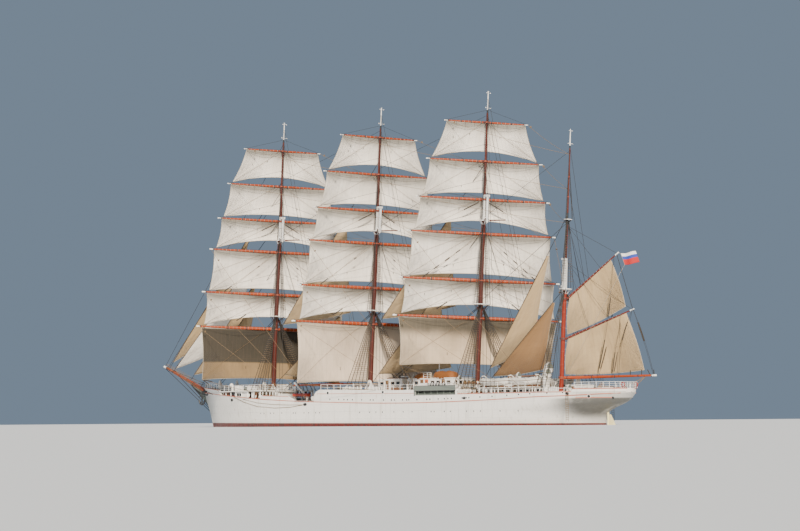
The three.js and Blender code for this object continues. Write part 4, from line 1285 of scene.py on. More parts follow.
def spanker_spars():
    stand = SWUNG["jigger"]
    for name, (z, _, thick, thin) in SPANKER_SPARS.items():
        inner, outer, _ = spar_ends(name)
        form = Form(stand)

        def at(share):
            return inner.lerp(outer, share), thick + (thin - thick) * share

        def section(low, high, paint, extra=0.0):
            marks = [at(low + (high - low) * k / 4) for k in range(5)]
            form.tube([p for p, _ in marks], [r + extra for _, r in marks], 18, paint)

        tip = 1 - 0.9 / (outer - inner).length
        section(0, tip, 0)
        section(tip, 1, 1)
        for share in (0.03, 0.3, 0.55, 0.8, tip):
            section(share, share + 0.008, 2, 0.02)
        bore = ring_bore("jigger", z)
        form.ring(0, up_mast(z), bore, bore + 0.18, 0.2)
        form.ring(0, up_mast(z), bore + 0.1, bore + 0.22, 0.05, 2)
        paint = YARD_ORANGE if name == "spanker_boom" else GAFF_ORANGE
        form.make(name + "_spar", "spanker", [paint, SPAR_WHITE, BLACK_IRON], "spar_paint", [name])


def spanker_surface(name):
    gaff, throat, peak, clew, tack, belly = SPANKER_SAILS[name]
    inner, outer, rise = spar_ends(gaff)
    down = Vector((sin(rise), 0, -cos(rise)))
    thick, thin = SPANKER_SPARS[gaff][2:]
    inner += down * (thick * cos(pi / 8) + 0.003)
    outer += down * (thin * cos(pi / 8) + 0.003)
    clew, tack = from_mast(*clew), from_mast(*tack)
    seed = Vector((belly * 9, 1.0, 5.0))

    def surface(u, v):
        point = inner.lerp(outer, throat + (peak - throat) * u).lerp(tack.lerp(clew, u), v)
        point.x += LEECH_HOLLOW * (2 * u - 1) * sin(pi * v)
        point.y += belly * sin(pi * u) * sin(pi * (0.01 + 0.84 * v))
        point.z -= 0.3 * sin(pi * u) * v**5
        fold = 0.06 * sin(16 * atan2(1.03 - v, u + 0.05)) * exp(-1.6 * hypot(u, 1 - v))
        fold += 0.05 * sin(14 * atan2(1.03 - v, 1.05 - u)) * exp(-2 * hypot(1 - u, 1 - v))
        fold += 0.12 * noise.noise(Vector((u * 1.6, v * 3, 0)) + seed) * sin(pi * u)
        point.y += fold * sin(pi * min(1, 2.5 * v)) ** 0.5 * sin(pi * u) ** 0.4
        return point

    width = max((clew - tack).length, (outer - inner).length * (peak - throat))
    return surface, (width, (inner.lerp(outer, throat) - tack).length * 1.25)


def spanker_sails():
    stand = SWUNG["jigger"]
    ropes = Lines(stand)
    wires = Lines(stand)
    for name in SPANKER_SAILS:
        surface, size = spanker_surface(name)
        gaff = SPANKER_SAILS[name][0]
        sailcloth(name + "_cloth", surface, (32, 30), size, TAN_CANVAS, "spanker",
                  stand, name)
        ropes.add(edge_of(surface), 0.035)
        inner, outer, _ = spar_ends(gaff)
        way = (outer - inner).normalized()
        for k in range(int((outer - inner).length * 0.84 / 0.7)):
            middle = inner + way * (0.5 + 0.7 * k)
            wires.loop(middle, 0.24 - 0.006 * k, way, 0.02, 10)
        for v in (0.12, 0.3, 0.48, 0.66, 0.84):
            ropes.add([surface(0, v), Vector((0.3, 0, surface(0, v).z + 0.05))], 0.03)
    ropes.make("spanker_edges", "spanker", PALE_ROPE)
    wires.make("gaff_lacing", "spanker", PALE_ROPE, sides=4)


# Standing rigging

def chainplate(mast, aft):
    """Starboard foot of a shroud or backstay, so far aft of its mast"""
    x = MASTS[mast][0] + aft
    return side_at(x, side_top(x)) + Vector((0, -0.12, 0.02))


def shrouds(mast):
    """Shrouds and backstays of one mast with their ratlines and rigging screws"""
    square = mast in SQUARE_RIGGED
    wires = Lines()
    steps = Lines()
    if square:
        top, trees, royal_top, rim = 21.0, 35.7, 45.5, 1.6
        lower = (0.3, 1.3, 2.3, 3.3, 4.3, 5.3)
        backs = ((6.3, trees, 0.3), (7.1, trees, 0.25), (7.9, 46.0, 0.2), (8.8, 54.6, 0.12),
                 (9.6, 57.5, 0.08))
    else:
        top, trees, royal_top, rim = 22.7, 34.6, 43.5, 1.1
        lower = (-0.4, 0.6, 1.6, 2.6)
        backs = ((3.0, trees, 0.3), (3.4, trees, 0.25), (3.8, 40.0, 0.2), (4.2, 46.7, 0.12))
    feet = [chainplate(mast, aft) for aft in lower]
    heads = [on_mast(mast, top, 0.05 + aft * 0.04, 0.3) for aft in lower]
    rims = [on_mast(mast, top + 0.35, aft, rim) for aft in (-0.1, 0.45, 1.0)]
    upper = [on_mast(mast, trees, 0.1 + aft * 0.1, 0.25) for aft in (-0.1, 0.45, 1.0)]
    arms = [on_mast(mast, trees + 0.3, aft, 0.9) for aft in (0.3, 0.5)]
    for starts, ends, spacing, radius in ((feet, heads, 0.42, 0.055), (rims, upper, 0.42, 0.04),
                                          (arms, [on_mast(mast, royal_top, 0, 0.16)] * 2, 0.5, 0.04)):
        for start, end in zip(starts, ends):
            wires.add([start, end], radius)
        count = int((ends[0] - starts[0]).length / spacing)
        for k in range(3, count - 1):
            steps.add([start.lerp(end, k / count) for start, end in zip(starts, ends)], 0.028)
    for aft, z, beside in backs:
        wires.add([chainplate(mast, aft), on_mast(mast, z, 0.05, beside)], 0.032)
    for start in rims:
        wires.add([start, on_mast(mast, top - 1.9, 0, 0.4)], 0.035)
    screws = []
    for side in (-1, 1):
        screws += [(mirrored(foot, side), mirrored(heads[0] - foot, side), 1.0) for foot in feet]
        for aft, *_ in backs:
            foot = mirrored(chainplate(mast, aft), side)
            screws.append((foot, on_mast(mast, trees) - foot, 1.0))
    for lines in (wires, steps):
        lines.mirror()
    wires.make(mast + "_shrouds_and_backstays", "ship", WIRE, sides=6)
    steps.make(mast + "_ratlines", "ship", HEMP, sides=4)
    screw = turned_fitting([(0.03, -0.1), (0.05, 0.0), (0.05, 0.12), (0.085, 0.16), (0.085, 0.62),
                            (0.05, 0.68), (0.05, 0.95), (0.03, 1.0)], 10)
    fittings(mast + "_rigging_screws", screws, screw, WALL_WHITE, "dark_fitting")


def on_bowsprit(share, side=0.0, above=0.0):
    return Vector(BOWSPRIT_HEEL).lerp(Vector(BOWSPRIT_END), share) + Vector((0, side, above))


def stays():
    """Stays that carry no sail, bobstays, whisker stays and the lines between the mast heads"""
    wires = Lines()
    for mast, x, y, z in (("fore", -48.4, 0.35, 7.5), ("main", -28.6, 0.6, 7.0), ("mizzen", -3.6, 0.6, 6.7)):
        wires.add([(x, y, z), on_mast(mast, 20.8, -0.3, 0.2)], 0.055)
    for share, x, z in ((0.55, -46.0, 6.4), (0.95, -46.6, 6.5)):
        wires.add([on_bowsprit(share, 0.2, -0.05), side_at(x, z) + Vector((0, 0.04, 0))], 0.045)
    wires.mirror()
    for share, z in ((0.985, 54.8), (0.93, 45.6)):
        wires.add([on_bowsprit(share), on_mast("fore", z)], 0.04)
    for ahead, low, aft, behind, high, radius in (
            ("fore", 36.6, 0.2, "main", 46.2, 0.04), ("fore", 47.6, 0.1, "main", 54.6, 0.03),
            ("main", 36.6, 0.2, "mizzen", 46.2, 0.04), ("main", 47.6, 0.1, "mizzen", 54.6, 0.03),
            ("mizzen", 22.0, 0.3, "jigger", 34.2, 0.04), ("mizzen", 36.6, 0.2, "jigger", 46.4, 0.03)):
        wires.add([on_mast(ahead, low, aft), on_mast(behind, high, -0.1)], radius)
    for share, x, z, radius in ((0.36, -50.25, 4.1, 0.07), (0.66, -50.0, 3.6, 0.06),
                                (0.96, -49.75, 3.0, 0.06)):
        wires.add([on_bowsprit(share, 0, -0.28), (x, 0, z)], radius)
    wires.make("stays_and_bobstays", "ship", WIRE, sides=8)


def bowsprit():
    """Round tapered spar with iron bands, and the netting and hand lines over and under it"""
    form = Form()

    def section(low, high, paint, extra=0.0):
        shares = [low + (high - low) * k / 4 for k in range(5)]
        form.tube([on_bowsprit(s) for s in shares], [0.42 - 0.22 * s + extra for s in shares], 28, paint)

    section(0, 0.955, 0)
    section(0.955, 1, 1)
    for share in (0.12, 0.2, 0.36, 0.5, 0.66, 0.8, 0.93):
        section(share, share + 0.012, 2, 0.025)
    form.make("bowsprit_spar", "ship", [YARD_ORANGE, SPAR_WHITE, BLACK_IRON], "spar_paint", ["bowsprit"])
    net = Lines()
    for height in (0.5, 1.05):
        net.slack(on_bowsprit(0.08, 0.75, height), on_bowsprit(0.93, 0.25, height * 0.8), 0.025, 0.1)
    for share in np.linspace(0.1, 0.92, 9):
        net.add([on_bowsprit(share, 0.3, 0.1), on_bowsprit(share, 0.72 - 0.5 * share, 1.0)], 0.025)
    for k in range(12):
        near = 0.1 + 0.8 * k / 12
        for start, end in ((near, near + 0.06), (near + 0.06, near)):
            net.add([on_bowsprit(start, 0.1, -0.35), on_bowsprit(end, 1.3 - near, 0.25)], 0.014)
    net.add([on_bowsprit(0.1, 1.2, 0.25), on_bowsprit(0.95, 0.3, 0.2)], 0.03)
    net.mirror()
    net.make("bowsprit_netting", "ship", HEMP, sides=4)


for square in SQUARE_RIGGED:
    square_mast(square)
    for yard_level in YARDS:
        yard(square, yard_level)
    square_sails(square)
jigger_mast()
stay_lines()
staysails()
spanker_spars()
spanker_sails()
for any_mast in MASTS:
    shrouds(any_mast)
stays()
bowsprit()


# Fittings on deck

DECK_FINISHES = [WALL_WHITE, TRIM_ORANGE, BLACK_IRON, GREY_PAINT, BROWN_WOOD, SIGNAL_RED, GLASS, BRONZE,
                 DECK_TEAK, COVER_CANVAS, BOAT_CANVAS]
WHITE, ORANGE, BLACK, GREY, BROWN, RED, PANE, BRASS, TEAK, COVER, BOAT_COVER = range(11)
FORWARD, AFT = -1, 1


def deck_piece(form, name, bevel=0.015, replaces=()):
    form.make(name, "ship", DECK_FINISHES, "house_paint", replaces, bevel=bevel)


def rail(lines, path, height=1.0, bars=3, every=1.6):
    """Stanchions with bars between them along a path of deck edge points"""
    path = [Vector(p) for p in path]
    for k in range(1, bars + 1):
        lines.add([p + up(height * k / bars) for p in path], 0.032 if k == bars else 0.022)
    for a, b in zip(path, path[1:]):
        count = max(1, round((b - a).length / every))
        for k in range(count):
            base = a.lerp(b, k / count)
            lines.add([base, base + up(height)], 0.035)
    lines.add([path[-1], path[-1] + up(height)], 0.035)


def make_rails(name, both_sides, across=()):
    """Rails from rows of (path, height, bars, spacing): those on both sides, then those across the ship"""
    lines = Lines()
    for row in both_sides:
        rail(lines, *row)
    lines.mirror()
    for row in across:
        rail(lines, *row)
    lines.make(name, "ship", WALL_WHITE, "house_paint", 6)


def cap_edge(stations, height, inset):
    """Points on top of the starboard plating, a little inboard"""
    return [side_at(x, height(x)) - Vector((0, inset, 0)) for x in stations]


def cowl_vent(form, x, y, z, height, size, way):
    """Ventilator with a bell mouth that looks forward or aft"""
    form.lathe((x, y, z), [(size * 1.15, 0), (size * 1.15, 0.08), (size * 0.8, 0.12),
                           (size * 0.75, height * 0.8)], sides=16)
    bend = [(0, 0, 0.75), (-0.1, 0.7, 0.85), (0.3, 1.3, 1.15), (1.1, 1.5, 1.5)]
    path = [(x + way * size * out, y, z + height * 0.8 + size * rise) for out, rise, _ in bend]
    form.tube(path, [size * wide for *_, wide in bend], 16)
    mouth, _, level = path[-1]
    form.tube([(mouth + way * 0.02, y, level), (mouth + way * 0.05, y, level)], size * 1.3, 16, GREY)


def bollards(form, x, y, z):
    form.block(x, y, 0.544, 0.24, z, z + 0.08, BLACK)
    for shift in (-0.32, 0.32):
        form.lathe((x + shift, y, z + 0.06), [(0.16, 0), (0.136, 0.1), (0.136, 0.48), (0.2, 0.512),
                                              (0.192, 0.592), (0.064, 0.624)], BLACK, 14)


def capstan(form, x, y, z, size, paint=GREY):
    drum = ((0.55, 0.9), (0.75, 1.5), (0.95, 1.6), (0.95, 1.95), (0.3, 2.1))
    form.lathe((x, y, z), [(size * 1.2, 0), (size * 1.2, 0.1), (size * 0.75, 0.22),
                           *[(size * wide, size * high) for wide, high in drum]], paint, 20)
    for k in range(8):
        t = 2 * pi * k / 8
        form.post(x + size * 0.74 * cos(t), y + size * 0.74 * sin(t), z + 0.2, z + size * 1.5, size * 0.08,
                  BLACK, 6)


def winch(form, x, z):
    """Deck winch on the centre line, with two drums between side plates"""
    for shift in (-0.8, 0.8):
        form.block(x, shift, 0.45, 0.05, z, z + 0.95, GREY)
    form.tube([(x, -1.15, z + 0.6), (x, 1.15, z + 0.6)], 0.08, 10, BLACK)
    for low, high, r, paint in ((-0.72, -0.66, 0.42, GREY), (-0.66, 0.1, 0.24, BROWN),
                                (0.1, 0.16, 0.42, GREY), (0.16, 0.7, 0.34, GREY), (-1.15, -0.85, 0.2, BROWN),
                                (0.85, 1.15, 0.2, BROWN)):
        form.tube([(x, low, z + 0.6), (x, high, z + 0.6)], r, 14, paint)
    form.block(x, 0, 0.7, 1.0, z, z + 0.1, BLACK)


def hatch(form, x0, x1, half, z):
    """Coaming with wedged battens and a canvas cover over boards"""
    form.box(x0, x1, -half, half, z, z + 0.7)
    form.box(x0 + 0.08, x1 - 0.08, -half + 0.08, half - 0.08, z + 0.66, z + 0.78, BOAT_COVER)
    for x in np.arange(x0 + 0.5, x1 - 0.2, 0.62):
        form.box(x, x + 0.07, -half - 0.04, half + 0.04, z + 0.76, z + 0.82, BROWN)
    for y in (-half, half):
        form.box(x0 - 0.05, x1 + 0.05, y - 0.04, y + 0.04, z + 0.5, z + 0.6, BLACK)


def door(form, x, y, z, height=1.75, paint=BROWN):
    """Door in a starboard wall, with frame, panel, porthole and handle"""
    form.box(x - 0.445, x + 0.445, y, y + 0.035, z, z + height + 0.1)
    form.box(x - 0.375, x + 0.375, y, y + 0.0595, z + 0.12, z + height, paint)
    eye = z + height * 0.76
    form.tube([(x, y, eye), (x, y + 0.0805, eye)], 0.17, 14, BRASS)
    form.tube([(x, y, eye), (x, y + 0.091, eye)], 0.12, 14, PANE)
    form.tube([(x + 0.285, y, z + 0.95), (x + 0.285, y + 0.105, z + 0.95)], 0.04, 8, BRASS)


def window(form, x, y, z):
    """Framed window in a starboard wall"""
    form.box(x - 0.41, x + 0.41, y, y + 0.03, z - 0.06, z + 0.61, BROWN)
    form.box(x - 0.35, x + 0.35, y, y + 0.048, z, z + 0.55, PANE)


def house(form, x0, x1, half, low, high, roof=0.12):
    """Steel deckhouse with a roof that stands out a little, a plinth and rails for lines"""
    form.box(x0, x1, -half, half, low, high)
    form.box(x0 - 0.12, x1 + 0.12, -half - 0.12, half + 0.12, high - 0.02, high + roof)
    form.box(x0 - 0.03, x1 + 0.03, -half - 0.03, half + 0.03, low, low + 0.18, GREY)
    for y in (-half - 0.03, half + 0.03):
        form.tube([(x0, y, high - 0.25), (x1, y, high - 0.25)], 0.03, 6)


def ladder(form, y, top, bottom, treads=9):
    """Steep stairs between decks, from ends given as (x, height)"""
    for across, lift, radius in ((0.35, 0, 0.055), (0.385, 0.9, 0.03)):
        for side in (-across, across):
            form.tube([(x, y + side, z + lift) for x, z in (top, bottom)], radius)
    for k in range(1, treads):
        x, z = (a + (b - a) * k / treads for a, b in zip(top, bottom))
        form.tube([(x, y - 0.35, z), (x, y + 0.35, z)], 0.05, 6, BROWN)


def pinrail(form, mast, z, reach, half):
    """Fife rail round a mast, with posts and belaying pins"""
    x = on_mast(mast, z).x
    corners = [(x - reach, -half), (x + reach, -half), (x + reach, half), (x - reach, half)]
    for (x0, y0), (x1, y1) in zip(corners, [*corners[1:], corners[0]]):
        form.tube([(x0, y0, z + 1.05), (x1, y1, z + 1.05)], 0.1, 8, BROWN)
        length = hypot(x1 - x0, y1 - y0)
        for k in range(int(length / 0.3)):
            share = (k + 0.5) * 0.3 / length
            px, py = x0 + (x1 - x0) * share, y0 + (y1 - y0) * share
            form.tube([(px, py, z + 0.8), (px, py, z + 1.3)], [0.025, 0.045], 6, BRASS)
        form.post(x0, y0, z, z + 1.25, 0.13, WHITE, 12)
    for end in (x - reach, x + reach):
        form.post(end, 0, z, z + 1.1, 0.1, WHITE, 10)


def rope_coils(name, mast, z, reach, half):
    """Coils of line hung on a fife rail and laid on the deck on both sides of it"""
    lines = Lines()
    x = on_mast(mast, z).x
    for side, ahead, out in ((-1, 3.4, 1.3), (1, 2.8, 1.2)):
        for k in range(7):
            for turn in range(3):
                beside = side * (half + 0.16 + 0.05 * turn)
                lines.loop((x - reach + 0.4 + 0.63 * k, beside, z + 0.75 - 0.05 * (k % 3)),
                           0.24 + 0.03 * (k % 2), (0.2, 1, 0.1), 0.028)
        for k in range(6):
            for turn in range(3):
                lines.loop((x - ahead + 1.4 * k, side * (half + out + 0.3 * (k % 2)), z + 0.05 + 0.06 * turn),
                           0.42 - 0.03 * turn, (0, 0, 1), 0.035, 12)
    lines.make(name, "ship", HEMP)


def forecastle():
    deck = 6.93
    form = Form()
    form.lathe((-44.6, 2.3, deck), [(0.5, 0), (0.46, 0.1), (0.44, 0.7), (0.36, 1.5), (0.2, 2.1),
                                    (0.05, 2.4)], sides=20)
    bollards(form, -46.8, 1.7, deck)
    bollards(form, -43.4, 3.3, deck)
    form.box(-49.4, -48.7, 0.65, 1.15, deck, deck + 0.5)
    form.tube([(-48.4, 1.4, deck), (-48.4, 1.4, deck + 1.2), (-48.6, 1.8, deck + 1.7),
               (-48.9, 2.3, deck + 1.65)], [0.09, 0.09, 0.07, 0.05], 10)
    cowl_vent(form, -42.9, 2.0, deck, 0.9, 0.24, FORWARD)
    form.mirror()
    capstan(form, -46.2, 0, deck, 0.62, WHITE)
    form.box(-45.3, -43.1, -0.8, 0.8, deck, deck + 0.75)
    form.box(-45.2, -43.2, -0.7, 0.7, deck + 0.7, deck + 0.82, BROWN)
    form.tube([(-50.7, 0, 7.4), (-50.9, 0, 9.6)], 0.05)
    form.lathe((-51.1, 0, 8.15), [(0.1, -0.15), (0.2, 0), (0.1, 0.18)], BRASS, 16)
    deck_piece(form, "forecastle_gear", 0.02)
    half = deck_edge(-42.3) - BULWARK - 0.3
    make_rails("forecastle_rails", [(cap_edge(np.linspace(-50.8, -42.4, 7), side_top, 0.12), 1.0, 3, 1.4)],
               [([(-42.3, -half, deck), (-42.3, half, deck)], 1.0, 3, 1.5)])


def bow_gear():
    """Anchors hung from short catheads, and the knee that carries the bowsprit ahead of the stem"""
    form = Form()
    knee = [(-50.6, 4.7), (-51.9, 5.6), (-53.2, 6.7), (-54.6, 7.75), (-55.4, 8.5), (-53.5, 7.72),
            (-51.2, 6.8)]
    fluke = ((0, 0), (0.55, 0.2), (0.8, 0.75), (0.72, 1.05))
    x, y, crown = -50.7, 1.5, 4.45
    form.tube([(-49.3, 0.5, 7.1), (x, y, 7.0)], [0.2, 0.17], 8, BLACK)
    form.post(x, y, crown + 1.9, 7.0, 0.06, BLACK)
    form.tube([(x, y, crown + 1.95), (x, y, crown)], [0.1, 0.16], 10, BLACK)
    for way in (-1, 1):
        form.tube([(x + way * out, y, crown + rise) for out, rise in fluke], [0.16, 0.15, 0.19, 0.04],
                  paint=BLACK)
    form.tube([(x, 0.2, z + 0.1) for x, z in knee[1:5]], 0.09, 8, BLACK)
    form.tube([side_at(-49.8, 6.3), (-52.4, 0.25, 6.75), (-54.9, 0.2, 8.1)], [0.12, 0.12, 0.08], 8, BLACK)
    form.mirror()
    for stock in (-y, y):
        form.tube([(x - 0.15, stock - 0.7, crown + 1.6), (x + 0.15, stock + 0.7, crown + 1.6)], 0.07,
                  paint=BLACK)
    form.loft([[(x, half, z) for x, z in knee] for half in (-0.16, 0.16)], GREY)
    form.make("anchors_and_stem_knee", "ship", DECK_FINISHES, "dark_fitting", bevel=0.02)


def shelter():
    """Deck between forecastle and well, carried on posts over two houses"""
    form = Form()
    low, high = 6.73, 6.93
    houses = ((-42.1, -36.6, 3.4), (-35.2, -28.6, 3.0))
    screens = ((-41.6, -41.0, WHITE), (-41.0, -38.6, BROWN), (-38.6, -36.5, BLACK), (-36.5, -31.9, WHITE),
               (-31.1, -30.7, WHITE), (-29.9, -29.5, BROWN), (-28.9, -28.5, WHITE))
    form.tube([(x, deck_edge(x), 6.83) for x in np.linspace(-42.3, -28.05, 12)], 0.11)
    for x in np.arange(-41.6, -28, 1.9):
        form.post(x, deck_edge(x) - 0.2, side_top(x) - 0.3, low + 0.02, 0.09, WHITE, 10)
    for start, end, half in houses:
        for k, x in enumerate(np.arange(start + 0.7, end - 0.4, 1.15)):
            if k % 2:
                window(form, x, half, 5.75)
            else:
                door(form, x, half, 4.85)
    for start, end, paint in screens:
        form.loft([[(x, side_at(x, 6.2).y - 0.4 + half, z) for half, z in
                    ((-0.05, 5.4), (0.05, 5.4), (0.05, low + 0.02), (-0.05, low + 0.02))]
                   for x in (start, end)], paint)
    for x in (-35.4, -34.6):
        form.block(x, side_at(x, 6.2).y - 0.4, 0.25, 0.1, 5.95, 6.4, PANE)
    cowl_vent(form, -39.0, 4.2, high, 0.9, 0.28, FORWARD)
    cowl_vent(form, -30.6, 3.6, high, 1.1, 0.26, FORWARD)
    form.box(-36.9, -35.4, 4.8, 5.6, high, high + 0.95)
    capstan(form, -36.4, 3.2, high, 0.36)
    ladder(form, 3.4, (-28.0, high), (-26.7, 4.4))
    form.mirror()
    rings = []
    for x in np.linspace(-42.38, -28.0, 12):
        half = deck_edge(x) - 0.02
        rings.append([(x, -half, low), (x, half, low), (x, half, high), (x, -half, high)])
    form.loft(rings)
    form.loft([[(x, y * 0.985, z + (0.21 if z == low else 0.02)) for x, y, z in ring]
               for ring in rings], TEAK)
    for start, end, half in houses:
        form.box(start, end, -half, half, 4.3, low + 0.02)
    for x0, x1, half in ((-38.7, -36.5, 0.9), (-29.9, -28.5, 0.7)):
        house(form, x0, x1, half, high, high + 0.9)
        form.box(x0 + 0.2, x1 - 0.2, -half + 0.15, half - 0.15, high + 1.0, high + 1.12, BROWN)
    pinrail(form, "fore", high, 1.9, 1.9)
    deck_piece(form, "shelter_deck")
    edge = [(x, deck_edge(x) - 0.12, high) for x in np.linspace(-42.0, -28.1, 9)]
    make_rails("shelter_rails", [(edge, 1.05, 3, 1.5), ([(-28.1, 4.0, high), (-28.1, 6.6, high)], 1.05)],
               [([(-28.1, -2.8, high), (-28.1, 2.8, high)], 1.05)])
    rope_coils("fore_mast_line_coils", "fore", high, 1.9, 1.9)


def well_deck():
    """Hatch, winches, lockers, cargo booms and the red rafts between the houses"""
    form = Form()
    door(form, -16.2, 2.4, 4.05)
    form.box(-20.4, -16.7, 5.4, 6.4, 5.6, 6.15, RED)
    form.box(-20.5, -16.6, 5.35, 6.45, 5.78, 5.88, ORANGE)
    for x in (-20.0, -18.5, -17.1):
        form.post(x, 5.9, 4.0, 5.62, 0.07)
    for x in (-15.9, -14.9):
        form.tube([(x, 4.75, 5.2), (x, 5.65, 5.2)], 0.42, 18)
        form.block(x, 5.2, 0.3, 0.4, 3.95, 4.9, GREY)
    bollards(form, -25.4, 6.0, 4.35)
    bollards(form, -21.6, 6.0, 4.25)
    form.box(-27.6, -26.4, 4.4, 5.4, 4.35, 5.3, BROWN)
    cowl_vent(form, -19.3, 3.4, 4.0, 1.6, 0.3, FORWARD)
    ladder(form, 3.6, (-14.0, 6.0), (-15.0, 4.0))
    form.tube([(-12.2, 1.3, 7.9), (-23.9, 2.5, 7.8)], [0.2, 0.13], 14, ORANGE)
    form.tube([(-18.2, 5.0, 5.7), (-21.6, 4.6, 8.2)], [0.2, 0.16], 14)
    form.post(-23.6, 2.5, 4.3, 7.65, 0.08)
    form.post(-18.2, 5.0, 3.9, 5.8, 0.12, WHITE, 10)
    form.mirror()
    hatch(form, -24.2, -20.2, 2.0, 4.2)
    winch(form, -26.2, 4.3)
    winch(form, -18.4, 4.05)
    house(form, -17.3, -15.2, 2.4, 3.95, 6.1)
    deck_piece(form, "well_deck_gear")


def bridge_deck():
    """Main mast's fife rail, hatch, skylight, vents and rails on the long deck amidships"""
    form = Form()
    deck = 6.5
    door(form, -0.2, 2.3, deck)
    for x in (-1.5, 1.1, 2.4):
        window(form, x, 2.3, deck + 0.9)
    form.box(-1.6, 0.6, 5.0, 6.0, deck - 0.1, deck + 0.6)
    form.box(3.9, 5.7, 4.7, 5.9, deck - 0.15, deck + 0.5, BROWN)
    capstan(form, -10.9, 3.8, deck, 0.4)
    capstan(form, 4.9, 2.7, deck - 0.1, 0.36)
    cowl_vent(form, -3.3, 3.4, deck, 1.3, 0.3, FORWARD)
    cowl_vent(form, 4.4, 1.2, deck, 1.5, 0.32, FORWARD)
    for x, y, z in ((-8.5, 6.1, 6.45), (1.8, 6.1, 6.4), (18.6, 6.3, 6.35)):
        bollards(form, x, y, z)
    form.tube([(5.9, 3.6, 6.3), (5.9, 3.6, 8.0), (6.3, 3.6, 8.15)], [0.1, 0.1, 0.05])
    form.mirror()
    pinrail(form, "main", deck + 0.08, 2.3, 2.1)
    hatch(form, -12.0, -10.2, 1.7, deck)
    house(form, -2.4, 3.4, 2.3, deck - 0.15, deck + 1.9)
    form.box(-1.6, 2.4, -0.8, 0.8, deck + 2.0, deck + 2.25, BROWN)
    form.box(-1.4, 2.2, -0.65, 0.65, deck + 2.2, deck + 2.32, PANE)
    form.box(0.0, 1.2, 1.2, 1.9, deck + 2.0, deck + 2.6)
    deck_piece(form, "bridge_deck_gear")
    make_rails("bridge_deck_rails", [([(x, deck_edge(x) - 0.15, side_top(x) - 0.02)
                                       for x in (-12.3, -4, 4, 12, 20.1)], 0.95, 2, 1.6)])
    rope_coils("main_mast_line_coils", "main", deck + 0.08, 2.3, 2.1)
    rope_coils("mizzen_mast_line_coils", "mizzen", 6.45, 1.7, 1.9)


def covered_gear(form, x0, x1, high):
    """Canvas cover pulled over gear on the bridge house's roof: a rounded heap with hanging folds"""
    middle, half, low = -2.2, 1.2, 8.3
    rings = []
    for share, spread in ((0, 1.0), (0.25, 1.02), (0.6, 0.97), (0.82, 0.85), (0.95, 0.6), (1, 0.25)):
        ring = []
        for k in range(28):
            t = 2 * pi * k / 28
            fold = 1 + 0.035 * sin(7 * t + 3 * share) * (1 - share) + 0.02 * sin(13 * t)
            reach = spread * fold * (abs(cos(t)) ** 4 + abs(sin(t)) ** 4) ** -0.25
            dip = 0.12 * sin(2.5 * t + x0) * share
            ring.append(((x0 + x1) / 2 + (x1 - x0) / 2 * reach * cos(t), middle + half * reach * sin(t),
                         low + (high - low) * share + dip))
        rings.append(ring)
    form.loft(rings, COVER)


